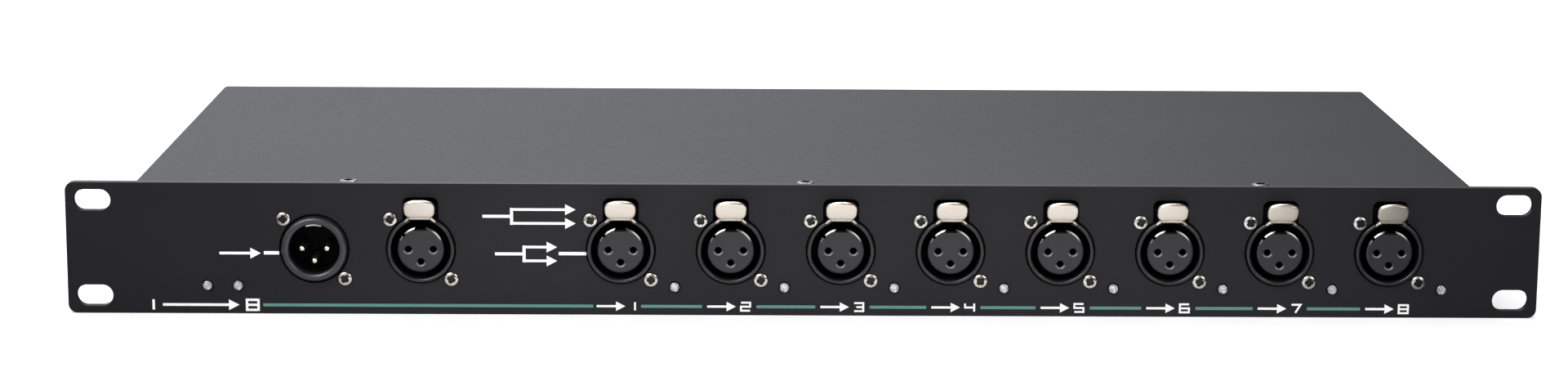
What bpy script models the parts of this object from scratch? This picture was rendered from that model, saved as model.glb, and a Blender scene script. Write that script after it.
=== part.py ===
# Rack-mount signal splitter for stage lighting: one input, one link and eight isolated outputs.
# One rack unit high, drawn in metres. +Z is up and the front panel faces -Y.
# The origin is the centre of the case's underside.

from math import asin, atan2, cos, pi, radians, sin

import bmesh
import bpy
from mathutils import Matrix, Vector

# Front panel, to the 19-inch rack standard
PANEL_WIDTH = 0.4826
PANEL_HEIGHT = 0.04366
PANEL_THICKNESS = 0.003
PANEL_CORNER = 0.003
EAR_WIDTH = 0.0213
RACK_SLOT_LENGTH = 0.012
RACK_SLOT_HEIGHT = 0.007
RACK_SLOT_INSET_X = 0.00875
RACK_SLOT_INSET_Z = 0.005955

# Folded steel case behind the panel
CASE_DEPTH = 0.197
CASE_INSET = 0.00068
SHEET = 0.0012
BEND_RADIUS = 0.0008
FRONT_FLANGE = 0.0095
REAR_FLANGE = 0.012
SIDE_FLANGE = 0.010
REAR_LIP = 0.0075
REAR_LIP_INSET = 0.0003
COVER_SCREW_PITCH = 0.1498
COVER_SCREW_SETBACK = 0.0033
COVER_SCREW_HOLE = 0.0032

# Clearance between pieces that touch or rest on each other
GAP = 0.0003

# Receptacles: places along the panel, as shares of the case's width
OUTPUT_COUNT = 8
INPUT_SHARE = 0.1352
LINK_SHARE = 0.2142
FIRST_OUTPUT_SHARE = 0.3626
LAST_OUTPUT_SHARE = 0.9358

# Receptacles: front ring, moulded block and fixing screws
RING_DIAMETER = 0.0224
RING_PROUD = 0.0013
RING_BEVEL = 0.0006
BLOCK_WIDTH = 0.026
BLOCK_DEPTH = 0.017
BLOCK_BELOW_AXIS = 0.0115
BLOCK_ABOVE_AXIS = 0.013
CONNECTOR_SCREW_OFFSET = 0.0099
CONNECTOR_SCREW_HOLE = 0.003

# Female receptacle: socket, contact insert and keyway
SOCKET_DIAMETER = 0.0194
SOCKET_DEPTH = 0.0153
INSERT_DIAMETER = 0.0150
INSERT_RECESS = 0.0005
KEYWAY_WIDTH = 0.0038
KEYWAY_DEPTH = 0.0014
CONTACT_CIRCLE = 0.0041
CONTACT_HOLE = 0.0026
CONTACT_HOLE_DEPTH = 0.010

# Latch lever: a tongue on a rear barrel, with two wings and a thumb pad in front of the panel
LATCH_TRAVEL = radians(6)
TONGUE_WIDTH = 0.0072
TONGUE_THICKNESS = 0.001
TONGUE_RISE = 0.0007
BARREL_DIAMETER = 0.0024
BARREL_BEHIND_SOCKET = 0.0028
WING_SPAN = 0.0106
WING_LENGTH = 0.0014
FOOT_PROUD = 0.0032
PAD_WIDTH = 0.0105
PAD_LENGTH = 0.0072
PAD_THICKNESS = 0.0014
PAD_CORNER = 0.0015
PAD_LEAN = radians(29)
TOOTH_WIDTH = 0.004
TOOTH_LENGTH = 0.0018
TOOTH_SETBACK = 0.0006
TOOTH_REACH = 0.0005
CHANNEL_ROOF = 0.0012
NOTCH_ABOVE_TONGUE = 0.0057
NOTCH_CORNER = 0.0022

# Male input receptacle and its three pins
SHELL_BORE = 0.0162
SHELL_STEP = 0.0008
SHELL_PROUD = 0.0020
SHELL_DEPTH = 0.0135
SHELL_LIP = 0.0011
KEY_RIDGE_WIDTH = 0.0038
KEY_RIDGE_HEIGHT = 0.0012
PIN_DIAMETER = 0.0024
PIN_RECESS = 0.0020
PIN_ROOT = 0.003

# Indicator lamps, three millimetres across, a share of the way between two output blocks
LED_DIAMETER = 0.003
LED_PROUD = 0.0021
LED_FLANGE = 0.0038
LED_FLANGE_THICKNESS = 0.001
LED_SPACE_SHARE = 0.469
LED_DROP = 0.0123
STATUS_LED_OFFSET = 0.025
STATUS_LED_PITCH = 0.010

# Circuit boards and what they carry
BOARD_THICKNESS = 0.0016
SIGNAL_BOARD_DEPTH = 0.064
BOARD_SIDE_MARGIN = 0.010
CONVERTER_SIZE = Vector((0.0195, 0.0100, 0.0102))
DRIVER_SIZE = Vector((0.0064, 0.0095, 0.0036))
STANDOFF_DIAMETER = 0.006
POWER_BOARD_WIDTH = 0.070
POWER_BOARD_DEPTH = 0.072
BOARD_SPACING = 0.012
TRANSFORMER_SIZE = Vector((0.033, 0.028, 0.026))
CORE_WIDTH = 0.020
CORE_OVERHANG = 0.0014
CORE_RISE = 0.0026
CORE_PROUD = 0.0052
CAPACITOR_DIAMETER = 0.016
CAPACITOR_HEIGHT = 0.024
CAPACITOR_BEAD = 0.002
CAPACITOR_GROOVE = 0.0007
SINK_LENGTH = 0.034
SINK_HEIGHT = 0.022
SINK_DEPTH = 0.012
SINK_FIN = 0.0014
SINK_FIN_COUNT = 7
BOARD_PART_GAP = 0.006

# Mains inlet with its fuse drawer, on the rear wall
INLET_INSET = 0.050
INLET_FLANGE_WIDTH = 0.048
INLET_FLANGE_HEIGHT = 0.030
INLET_FLANGE_THICKNESS = 0.003
INLET_BODY_WIDTH = 0.0276
INLET_BODY_HEIGHT = 0.0276
INLET_BODY_DEPTH = 0.0215
INLET_WALL = 0.0015
SHROUD_WIDTH = 0.0244
SHROUD_HEIGHT = 0.0163
SHROUD_CHAMFER = 0.005
SHROUD_DEPTH = 0.0165
BLADE_THICKNESS = 0.002
BLADE_HEIGHT = 0.004
BLADE_SPACING = 0.014
BLADE_STAGGER = 0.004
BLADE_RECESS = 0.002
BLADE_ROOT = 0.002
DRAWER_WIDTH = 0.0220
DRAWER_HEIGHT = 0.0066
DRAWER_DEPTH = 0.018
DRAWER_LIP = 0.0012
DRAWER_NOTCH = 0.003
FLANGE_CORNER = 0.003
FUSE_LENGTH = 0.020
FUSE_DIAMETER = 0.0052
FUSE_CAP_LENGTH = 0.005
FUSE_CAP_STEP = 0.0003

# Rocker switch beside the inlet
SWITCH_TO_INLET = 0.045
SWITCH_WIDTH = 0.015
SWITCH_HEIGHT = 0.021
BEZEL_THICKNESS = 0.002
BEZEL_RIM = 0.0018
SWITCH_BODY_DEPTH = 0.015
SWITCH_WELL_DEPTH = 0.0085
ROCKER_PROUD = 0.0022
ROCKER_DISH = 0.0012
ROCKER_TILT = radians(7)
ROCKER_HUB = 0.0026

# Facets on round forms
RING_SIDES = 20
SMALL_SIDES = 8
TRAY_HOLE_SIDES = 12

# Places worked out from the sizes above
CASE_WIDTH = PANEL_WIDTH - 2 * EAR_WIDTH
CASE_HEIGHT = PANEL_HEIGHT - 2 * CASE_INSET
PANEL_BACK = -CASE_DEPTH / 2
PANEL_FRONT = PANEL_BACK - PANEL_THICKNESS
CASE_FRONT = PANEL_BACK + GAP
CASE_BACK = CASE_DEPTH / 2
REAR_WALL = CASE_BACK - REAR_LIP_INSET - SHEET - GAP
AXIS_Z = CASE_HEIGHT / 2
TRAY_WIDTH = CASE_WIDTH - 2 * (SHEET + GAP)
TRAY_HEIGHT = CASE_HEIGHT - SHEET - GAP

INPUT_X = CASE_WIDTH * (INPUT_SHARE - 0.5)
LINK_X = CASE_WIDTH * (LINK_SHARE - 0.5)
FIRST_OUTPUT_X = CASE_WIDTH * (FIRST_OUTPUT_SHARE - 0.5)
LAST_OUTPUT_X = CASE_WIDTH * (LAST_OUTPUT_SHARE - 0.5)
OUTPUT_PITCH = (LAST_OUTPUT_X - FIRST_OUTPUT_X) / (OUTPUT_COUNT - 1)
OUTPUT_XS = [FIRST_OUTPUT_X + i * OUTPUT_PITCH for i in range(OUTPUT_COUNT)]
FEMALE_XS = [LINK_X] + OUTPUT_XS

LED_OFFSET = BLOCK_WIDTH / 2 + LED_SPACE_SHARE * (OUTPUT_PITCH - BLOCK_WIDTH)
STATUS_LED_XS = [INPUT_X - STATUS_LED_OFFSET - i * STATUS_LED_PITCH for i in range(2)]
OUTPUT_LED_XS = [x + LED_OFFSET for x in OUTPUT_XS]
LED_Z = AXIS_Z - LED_DROP

# Receptacle sizes along its own axis, measured back from the panel's front face
BLOCK_FRONT = PANEL_THICKNESS + GAP + SHEET + GAP
BLOCK_BACK = BLOCK_FRONT + BLOCK_DEPTH
SOCKET_FLOOR = SOCKET_DEPTH - RING_PROUD
RING_RADIUS = RING_DIAMETER / 2
SOCKET_RADIUS = SOCKET_DIAMETER / 2
RING_HOLE = RING_RADIUS + GAP
TONGUE_BOTTOM = SOCKET_RADIUS + TONGUE_RISE
TONGUE_TOP = TONGUE_BOTTOM + TONGUE_THICKNESS
BARREL_Y = SOCKET_FLOOR + BARREL_BEHIND_SOCKET
BARREL_Z = TONGUE_BOTTOM + TONGUE_THICKNESS / 2
TONGUE_LIFT = (BARREL_Y - BLOCK_FRONT) * sin(LATCH_TRAVEL)
CHANNEL_TOP = TONGUE_TOP + TONGUE_LIFT + GAP
NOTCH_TOP = TONGUE_TOP + NOTCH_ABOVE_TONGUE
NOTCH_WIDTH = WING_SPAN + 4 * GAP
SHELL_FLOOR = SHELL_DEPTH - SHELL_PROUD

# Board heights, from the blocks that stand on the signal board
BOARD_TOP = AXIS_Z - BLOCK_BELOW_AXIS - GAP
BOARD_BOTTOM = BOARD_TOP - BOARD_THICKNESS
STANDOFF_TOP = BOARD_BOTTOM - GAP
BOARD_FRONT = CASE_FRONT + SHEET + LED_FLANGE_THICKNESS + 3 * GAP
SIGNAL_BOARD_WIDTH = TRAY_WIDTH - 2 * BOARD_SIDE_MARGIN
POWER_BOARD_FRONT = BOARD_FRONT + SIGNAL_BOARD_DEPTH + BOARD_SPACING

# Rear wall places, centred on the wall's free height below the cover's lip
REAR_Z = (CASE_HEIGHT - REAR_LIP) / 2
INLET_X = CASE_WIDTH / 2 - INLET_INSET
SWITCH_X = INLET_X - SWITCH_TO_INLET
POWER_BOARD_X = SWITCH_X - SWITCH_WIDTH - POWER_BOARD_WIDTH / 2
SHROUD_Z = (INLET_BODY_HEIGHT - SHROUD_HEIGHT) / 2 - INLET_WALL
DRAWER_Z = -(INLET_BODY_HEIGHT - DRAWER_HEIGHT) / 2 + INLET_WALL
FUSE_Z = DRAWER_HEIGHT / 2 - GAP - FUSE_DIAMETER / 2

AXIS_MAPS = {
    "XZ": lambda a, b, depth: (a, depth, b),
    "YZ": lambda a, b, depth: (depth, a, b),
    "XY": lambda a, b, depth: (a, b, depth),
}


def clear_scene():
    for obj in list(bpy.data.objects):
        bpy.data.objects.remove(obj, do_unlink=True)


def finish(name, color, roughness, metallic=0.0, alpha=1.0):
    material = bpy.data.materials.new(name)
    material.use_nodes = True
    shader = material.node_tree.nodes["Principled BSDF"]
    shader.inputs["Base Color"].default_value = (*color, 1.0)
    shader.inputs["Roughness"].default_value = roughness
    shader.inputs["Metallic"].default_value = metallic
    shader.inputs["Alpha"].default_value = alpha
    return material


# Outlines: closed loops of points in a plane

def rectangle(width, height, centre=(0.0, 0.0)):
    cx, cz = centre
    half_w = width / 2
    half_h = height / 2
    corners = [(-half_w, -half_h), (half_w, -half_h), (half_w, half_h), (-half_w, half_h)]
    return [(cx + x, cz + z) for x, z in corners]


def arc(centre, radius, start, end, steps):
    angles = [start + (end - start) * i / steps for i in range(steps + 1)]
    return [(centre[0] + radius * cos(a), centre[1] + radius * sin(a)) for a in angles]


def circle(radius, sides, centre=(0.0, 0.0)):
    return arc(centre, radius, 0.0, 2 * pi, sides)[:-1]


def rounded_rectangle(width, height, radius, centre=(0.0, 0.0), steps=3):
    inner_x = width / 2 - radius
    inner_z = height / 2 - radius
    points = []
    for i, (sx, sz) in enumerate([(1, 1), (-1, 1), (-1, -1), (1, -1)]):
        corner = (centre[0] + sx * inner_x, centre[1] + sz * inner_z)
        points += arc(corner, radius, i * pi / 2, (i + 1) * pi / 2, steps)
    return points


def rack_slot(centre, steps=8):
    radius = RACK_SLOT_HEIGHT / 2
    reach = RACK_SLOT_LENGTH / 2 - radius
    right = arc((centre[0] + reach, centre[1]), radius, -pi / 2, pi / 2, steps)
    left = arc((centre[0] - reach, centre[1]), radius, pi / 2, 3 * pi / 2, steps)
    return right + left


def keyed_circle(radius, key_width, key_depth, sides=RING_SIDES):
    # A circle whose top is interrupted by a flat-bottomed key
    half_angle = asin(key_width / 2 / radius)
    points = arc((0.0, 0.0), radius, pi / 2 + half_angle, 5 * pi / 2 - half_angle, sides)
    level = radius - key_depth
    return points + [(key_width / 2, level), (-key_width / 2, level)]


def notched_circle(radius, notch_width, notch_top, centre, sides):
    # A round hole that opens upward into a notch with rounded corners
    half_angle = asin(notch_width / 2 / radius)
    points = arc((0.0, 0.0), radius, pi / 2 + half_angle, 5 * pi / 2 - half_angle, sides)
    corner_x = notch_width / 2 - NOTCH_CORNER
    corner_z = notch_top - NOTCH_CORNER
    points += arc((corner_x, corner_z), NOTCH_CORNER, 0, pi / 2, 2)
    points += arc((-corner_x, corner_z), NOTCH_CORNER, pi / 2, pi, 2)
    return [(centre[0] + x, centre[1] + z) for x, z in points]


def folded_sheet(corners, steps=2):
    # Section of a sheet whose outer face runs through the corners, every fold turning left
    outer_radius = BEND_RADIUS + SHEET
    points = [Vector(corner) for corner in corners]
    runs = [(b - a).normalized() for a, b in zip(points, points[1:])]
    inward = [Vector((-run.y, run.x)) for run in runs]
    outer = [points[0]]
    inner = [points[0] + inward[0] * SHEET]
    for i in range(1, len(points) - 1):
        centre = points[i] - runs[i - 1] * outer_radius + inward[i - 1] * outer_radius
        start = atan2(-inward[i - 1].y, -inward[i - 1].x)
        outer += [Vector(p) for p in arc(centre, outer_radius, start, start + pi / 2, steps)]
        inner += [Vector(p) for p in arc(centre, BEND_RADIUS, start, start + pi / 2, steps)]
    outer.append(points[-1])
    inner.append(points[-1] + inward[-1] * SHEET)
    return [tuple(p) for p in outer + inner[::-1]]


# Solids: prisms, turned forms and what is cut from or joined to them

def mesh_from(bm):
    bmesh.ops.remove_doubles(bm, verts=bm.verts, dist=1e-7)
    bmesh.ops.recalc_face_normals(bm, faces=bm.faces)
    mesh = bpy.data.meshes.new("form")
    bm.to_mesh(mesh)
    bm.free()
    return mesh


def prism(outline, plane, low, high):
    place = AXIS_MAPS[plane]
    bm = bmesh.new()
    loops = [[bm.verts.new(place(a, b, depth)) for a, b in outline] for depth in (low, high)]
    for loop in loops:
        bm.faces.new(loop)
    count = len(outline)
    for i in range(count):
        j = (i + 1) % count
        bm.faces.new((loops[0][i], loops[0][j], loops[1][j], loops[1][i]))
    return mesh_from(bm)


def prisms(outlines, plane, low, high):
    return gather([prism(outline, plane, low, high) for outline in outlines])


def turned(profile, sides=RING_SIDES, axis="Y"):
    # Turn a profile of (radius, place along the axis) points, closed on the axis at both ends
    direction = Vector((0, 1, 0)) if axis == "Y" else Vector((1, 0, 0))
    bm = bmesh.new()
    points = [Vector((0, along, radius)) if axis == "Y" else Vector((along, 0, radius))
              for radius, along in profile]
    verts = [bm.verts.new(point) for point in points]
    edges = [bm.edges.new(pair) for pair in zip(verts, verts[1:])]
    bmesh.ops.spin(bm, geom=verts + edges, cent=(0, 0, 0), axis=direction,
                   angle=2 * pi, steps=sides, use_merge=True)
    return mesh_from(bm)


def gather(meshes):
    # Several separate forms in one mesh
    bm = bmesh.new()
    for mesh in meshes:
        bm.from_mesh(mesh)
        bpy.data.meshes.remove(mesh)
    mesh = bpy.data.meshes.new("form")
    bm.to_mesh(mesh)
    bm.free()
    return mesh


def moved(mesh, offset=(0, 0, 0), turn=0.0, axis="X"):
    mesh.transform(Matrix.Translation(offset) @ Matrix.Rotation(turn, 4, axis))
    return mesh


def combined(body, other, operation):
    # Two meshes made into one with Blender's exact Boolean
    base = bpy.data.objects.new("base", body)
    tool = bpy.data.objects.new("tool", other)
    for obj in (base, tool):
        bpy.context.collection.objects.link(obj)
    boolean = base.modifiers.new("boolean", "BOOLEAN")
    boolean.operation = operation
    boolean.object = tool
    boolean.solver = "EXACT"
    graph = bpy.context.evaluated_depsgraph_get()
    mesh = bpy.data.meshes.new_from_object(base.evaluated_get(graph))
    for obj in (base, tool):
        bpy.data.objects.remove(obj, do_unlink=True)
    return mesh


def cut(body, *cutters):
    for cutter in cutters:
        body = combined(body, cutter, "DIFFERENCE")
    return body


def joined(body, *others):
    for other in others:
        body = combined(body, other, "UNION")
    return body


def smooth(mesh, angle=radians(32)):
    mesh.shade_smooth()
    mesh.set_sharp_from_angle(angle=angle)
    return mesh


def add_part(name, mesh, material, location=(0, 0, 0), tilt=0.0):
    obj = bpy.data.objects.new(name, mesh)
    if not mesh.materials:
        mesh.materials.append(material)
    obj.location = location
    obj.rotation_euler = (tilt, 0, 0)
    bpy.context.collection.objects.link(obj)
    return obj


# Front panel

def screw_centres():
    offset = CONNECTOR_SCREW_OFFSET
    places = []
    for x in [INPUT_X] + FEMALE_XS:
        places += [(x - offset, AXIS_Z + offset), (x + offset, AXIS_Z - offset)]
    return places


def receptacle_holes(sides):
    # The flats of each hole stay clear of the ring
    radius = RING_HOLE / cos(pi / sides)
    holes = [circle(radius, sides, (INPUT_X, AXIS_Z))]
    holes += [notched_circle(radius, NOTCH_WIDTH, NOTCH_TOP, (x, AXIS_Z), sides) for x in FEMALE_XS]
    return holes


def small_holes(sides):
    screw_radius = CONNECTOR_SCREW_HOLE / 2
    lamp_radius = (LED_DIAMETER / 2 + GAP) / cos(pi / sides)
    holes = [circle(screw_radius, sides, place) for place in screw_centres()]
    holes += [circle(lamp_radius, sides, (x, LED_Z)) for x in STATUS_LED_XS + OUTPUT_LED_XS]
    return holes


def front_panel_mesh():
    outline = rounded_rectangle(PANEL_WIDTH, PANEL_HEIGHT, PANEL_CORNER, (0, AXIS_Z))
    plate = prism(outline, "XZ", PANEL_FRONT, PANEL_BACK)
    slot_x = PANEL_WIDTH / 2 - RACK_SLOT_INSET_X
    slot_z = PANEL_HEIGHT / 2 - RACK_SLOT_INSET_Z
    holes = [rack_slot((sx * slot_x, AXIS_Z + sz * slot_z)) for sx in (-1, 1) for sz in (-1, 1)]
    holes += receptacle_holes(RING_SIDES) + small_holes(SMALL_SIDES)
    margin = PANEL_THICKNESS
    return cut(plate, prisms(holes, "XZ", PANEL_FRONT - margin, PANEL_BACK + margin))


# Case: the base tray and the top cover

def standoff_places():
    side = SIGNAL_BOARD_WIDTH / 2 - STANDOFF_DIAMETER
    front = BOARD_FRONT + BLOCK_DEPTH + 2 * STANDOFF_DIAMETER
    back = BOARD_FRONT + SIGNAL_BOARD_DEPTH - STANDOFF_DIAMETER
    places = [(x, y) for x in (-side, 0.0, side) for y in (front, back)]
    reach_x = POWER_BOARD_WIDTH / 2 - STANDOFF_DIAMETER
    reach_y = POWER_BOARD_DEPTH / 2 - STANDOFF_DIAMETER
    middle_y = POWER_BOARD_FRONT + POWER_BOARD_DEPTH / 2
    places += [(POWER_BOARD_X + sx * reach_x, middle_y + sy * reach_y)
               for sx in (-1, 1) for sy in (-1, 1)]
    return places


def tray_flange(side):
    # Upturned flange along one side of the tray's floor, between the two end walls
    middle = side * (TRAY_WIDTH / 2 - GAP - SHEET / 2)
    outline = rectangle(SHEET, SIDE_FLANGE, (middle, (SIDE_FLANGE + SHEET) / 2))
    return prism(outline, "XZ", CASE_FRONT + SHEET / 2, REAR_WALL - SHEET / 2)


def base_tray_mesh():
    section = folded_sheet([
        (CASE_FRONT + FRONT_FLANGE, TRAY_HEIGHT),
        (CASE_FRONT, TRAY_HEIGHT),
        (CASE_FRONT, 0.0),
        (REAR_WALL, 0.0),
        (REAR_WALL, TRAY_HEIGHT),
        (REAR_WALL - REAR_FLANGE, TRAY_HEIGHT),
    ])
    tray = prism(section, "YZ", -TRAY_WIDTH / 2, TRAY_WIDTH / 2)
    tray = joined(tray, tray_flange(-1), tray_flange(1))
    posts = prisms([circle(STANDOFF_DIAMETER / 2, SMALL_SIDES, place) for place in standoff_places()],
                   "XY", SHEET / 2, STANDOFF_TOP)
    tray = joined(tray, posts)
    front_holes = receptacle_holes(TRAY_HOLE_SIDES) + small_holes(SMALL_SIDES - 2)
    front_cut = prisms(front_holes, "XZ", CASE_FRONT - SHEET, CASE_FRONT + 2 * SHEET)
    rear_holes = [
        rectangle(INLET_BODY_WIDTH + 2 * GAP, INLET_BODY_HEIGHT + 2 * GAP, (INLET_X, REAR_Z)),
        rectangle(SWITCH_WIDTH - BEZEL_RIM, SWITCH_HEIGHT - BEZEL_RIM, (SWITCH_X, REAR_Z)),
    ]
    rear_cut = prisms(rear_holes, "XZ", REAR_WALL - 2 * SHEET, REAR_WALL + SHEET)
    screw_cut = prisms(cover_screw_holes(), "XY", TRAY_HEIGHT - 2 * SHEET, TRAY_HEIGHT + SHEET)
    return cut(tray, gather([front_cut, rear_cut, screw_cut]))


def cover_screw_holes():
    row = CASE_FRONT + COVER_SCREW_SETBACK
    xs = [i * COVER_SCREW_PITCH for i in (-1, 0, 1)]
    return [circle(COVER_SCREW_HOLE / 2, SMALL_SIDES, (x, row)) for x in xs]


def top_cover_mesh():
    side = CASE_WIDTH / 2
    section = folded_sheet([(side, 0.0), (side, CASE_HEIGHT), (-side, CASE_HEIGHT), (-side, 0.0)])
    cover = prism(section, "XZ", CASE_FRONT, CASE_BACK)
    lip_height = REAR_LIP - SHEET / 2
    lip = rectangle(TRAY_WIDTH - 2 * BEND_RADIUS, lip_height, (0, CASE_HEIGHT - REAR_LIP + lip_height / 2))
    lip_back = CASE_BACK - REAR_LIP_INSET
    cover = joined(cover, prism(lip, "XZ", lip_back - SHEET, lip_back))
    return cut(cover, prisms(cover_screw_holes(), "XY", CASE_HEIGHT - 2 * SHEET, CASE_HEIGHT + SHEET))


# Female receptacles

def block_outline(top):
    # Moulded block seen from the front: a wide body, with a narrower roof over the latch
    half = BLOCK_WIDTH / 2
    roof = NOTCH_WIDTH / 2 + CHANNEL_ROOF
    outline = [(-half, -BLOCK_BELOW_AXIS), (half, -BLOCK_BELOW_AXIS), (half, BLOCK_ABOVE_AXIS)]
    if top > BLOCK_ABOVE_AXIS:
        outline += [(roof, BLOCK_ABOVE_AXIS), (roof, top), (-roof, top), (-roof, BLOCK_ABOVE_AXIS)]
    outline.append((-half, BLOCK_ABOVE_AXIS))
    return outline


def latch_channel():
    outline = rectangle(TONGUE_WIDTH + 2 * GAP, CHANNEL_TOP - TONGUE_BOTTOM + GAP,
                        (0, (CHANNEL_TOP + TONGUE_BOTTOM - GAP) / 2))
    return prism(outline, "XZ", BLOCK_FRONT - SHEET, BARREL_Y)


def latch_pocket():
    radius = BARREL_DIAMETER / 2 + 2 * GAP
    half = TONGUE_WIDTH / 2 + GAP
    pocket = turned([(0, -half), (radius, -half), (radius, half), (0, half)], SMALL_SIDES + 2, "X")
    return moved(pocket, (0, BARREL_Y, BARREL_Z))


def tooth_slot():
    low = BLOCK_FRONT + TOOTH_SETBACK - GAP
    outline = rectangle(TOOTH_WIDTH + 2 * GAP, TOOTH_LENGTH + 2 * GAP, (0, low + TOOTH_LENGTH / 2 + GAP))
    return prism(outline, "XY", SOCKET_RADIUS - TONGUE_THICKNESS, TONGUE_BOTTOM)


def ring_mouth():
    # Opening at the top of the ring, where the latch's wings and foot sit
    width = WING_SPAN + 2 * GAP
    floor = TONGUE_BOTTOM - TONGUE_THICKNESS
    outline = rectangle(width, RING_DIAMETER - floor, (0, RING_DIAMETER / 2 + floor / 2))
    return prism(outline, "XZ", -2 * RING_PROUD, BLOCK_FRONT - GAP)


def female_housing_mesh():
    top = CHANNEL_TOP + CHANNEL_ROOF
    block = prism(block_outline(top), "XZ", BLOCK_FRONT, BLOCK_BACK)
    ring = turned([
        (0, BLOCK_FRONT + SHEET), (RING_RADIUS, BLOCK_FRONT + SHEET),
        (RING_RADIUS, RING_BEVEL - RING_PROUD), (RING_RADIUS - RING_BEVEL, -RING_PROUD),
        (0, -RING_PROUD),
    ])
    socket = prism(circle(SOCKET_RADIUS, RING_SIDES), "XZ", -2 * RING_PROUD, SOCKET_FLOOR)
    latch_space = joined(latch_channel(), latch_pocket())
    hollow = joined(socket, ring_mouth(), tooth_slot(), latch_space)
    return smooth(cut(joined(block, ring), hollow))


def contact_places():
    radius = CONTACT_CIRCLE
    return [(-radius, 0.0), (radius, 0.0), (0.0, -radius)]


def insert_mesh():
    front = INSERT_RECESS - RING_PROUD
    back = SOCKET_FLOOR - GAP
    radius = INSERT_DIAMETER / 2
    body = turned([(0, front), (radius, front), (radius, back), (0, back)])
    keyway = prism(rectangle(KEYWAY_WIDTH, 2 * KEYWAY_DEPTH, (0, radius)), "XZ", front - GAP, back + GAP)
    holes = [circle(CONTACT_HOLE / 2, SMALL_SIDES, place) for place in contact_places()]
    contacts = prisms(holes, "XZ", front - GAP, front + CONTACT_HOLE_DEPTH)
    return smooth(cut(body, keyway, contacts))


# Latch lever, drawn about its hinge axis

def tongue_outline():
    half = TONGUE_WIDTH / 2
    wing = WING_SPAN / 2
    front = -FOOT_PROUD
    right = [
        (half, BARREL_Y), (half, front + 2 * WING_LENGTH + wing - half),
        (wing, front + 2 * WING_LENGTH), (wing, front + WING_LENGTH / 2),
        (wing - WING_LENGTH / 2, front),
    ]
    return right + [(-x, y) for x, y in reversed(right)]


def pad_outline():
    # Rounded thumb pad whose lower edge runs down into the foot as a narrower waist
    half = PAD_WIDTH / 2
    waist = half - PAD_CORNER
    low = PAD_CORNER / 2
    right = [(waist, -TONGUE_THICKNESS / 2)]
    right += arc((waist, low + PAD_CORNER), PAD_CORNER, -pi / 2, 0, 3)
    right += arc((waist, PAD_LENGTH - PAD_CORNER), PAD_CORNER, 0, pi / 2, 3)
    return right + [(-x, z) for x, z in reversed(right)]


def latch_mesh():
    tongue = prism(tongue_outline(), "XY", TONGUE_BOTTOM, TONGUE_TOP)
    half = TONGUE_WIDTH / 2
    radius = BARREL_DIAMETER / 2
    barrel = turned([(0, -half), (radius, -half), (radius, half), (0, half)], SMALL_SIDES, "X")
    barrel = moved(barrel, (0, BARREL_Y, BARREL_Z))
    pad = moved(prism(pad_outline(), "XZ", 0.0, PAD_THICKNESS),
                (0, -FOOT_PROUD, TONGUE_BOTTOM + TONGUE_THICKNESS / 2), PAD_LEAN)
    tooth_front = BLOCK_FRONT + TOOTH_SETBACK
    tooth = prism(
        [(tooth_front, SOCKET_RADIUS - TOOTH_REACH / 2), (tooth_front + TOOTH_LENGTH, SOCKET_RADIUS - TOOTH_REACH),
         (tooth_front + TOOTH_LENGTH, BARREL_Z), (tooth_front, BARREL_Z)],
        "YZ", -TOOTH_WIDTH / 2, TOOTH_WIDTH / 2)
    lever = joined(tongue, barrel, pad, tooth)
    return smooth(moved(lever, (0, -BARREL_Y, -BARREL_Z)))


# Male input receptacle

def male_housing_mesh():
    block = prism(block_outline(0.0), "XZ", BLOCK_FRONT, BLOCK_BACK)
    bore = SHELL_BORE / 2
    rim = RING_RADIUS - SHELL_STEP
    step = -SHELL_LIP / 2
    shell = turned([
        (0, BLOCK_FRONT + SHEET), (RING_RADIUS, BLOCK_FRONT + SHEET), (RING_RADIUS, step),
        (rim, step), (rim, SHELL_LIP - SHELL_PROUD), ((bore + rim) / 2, -SHELL_PROUD),
        (bore, -SHELL_PROUD + SHELL_LIP / 4), (0, -SHELL_PROUD + SHELL_LIP / 4),
    ])
    cavity = prism(keyed_circle(bore, KEY_RIDGE_WIDTH, KEY_RIDGE_HEIGHT), "XZ", -2 * SHELL_PROUD, SHELL_FLOOR)
    sockets = prisms([circle(PIN_DIAMETER / 2 + GAP, SMALL_SIDES, place) for place in contact_places()],
                     "XZ", SHELL_FLOOR - GAP, SHELL_FLOOR + PIN_ROOT)
    return smooth(cut(joined(block, shell), cavity, sockets))


def pin_mesh():
    radius = PIN_DIAMETER / 2
    tip = PIN_RECESS - SHELL_PROUD
    return smooth(turned([(0, tip), (radius / 2, tip), (radius, tip + radius / 2),
                          (radius, SHELL_FLOOR + PIN_ROOT - GAP), (0, SHELL_FLOOR + PIN_ROOT - GAP)],
                         SMALL_SIDES + 2))


# Indicator lamps

def led_mesh():
    radius = LED_DIAMETER / 2
    dome = [(radius * sin(a), radius - LED_PROUD - radius * cos(a)) for a in (0, pi / 6, pi / 3, pi / 2)]
    flange = BLOCK_FRONT
    back = flange + LED_FLANGE_THICKNESS
    profile = dome + [(radius, flange), (LED_FLANGE / 2, flange), (LED_FLANGE / 2, back), (0, back)]
    return smooth(turned(profile, SMALL_SIDES))


# Circuit boards and their parts

def box(size, centre_x, centre_y, low_z):
    outline = rectangle(size[0], size[1], (centre_x, centre_y))
    return prism(outline, "XY", low_z, low_z + size[2])


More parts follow.
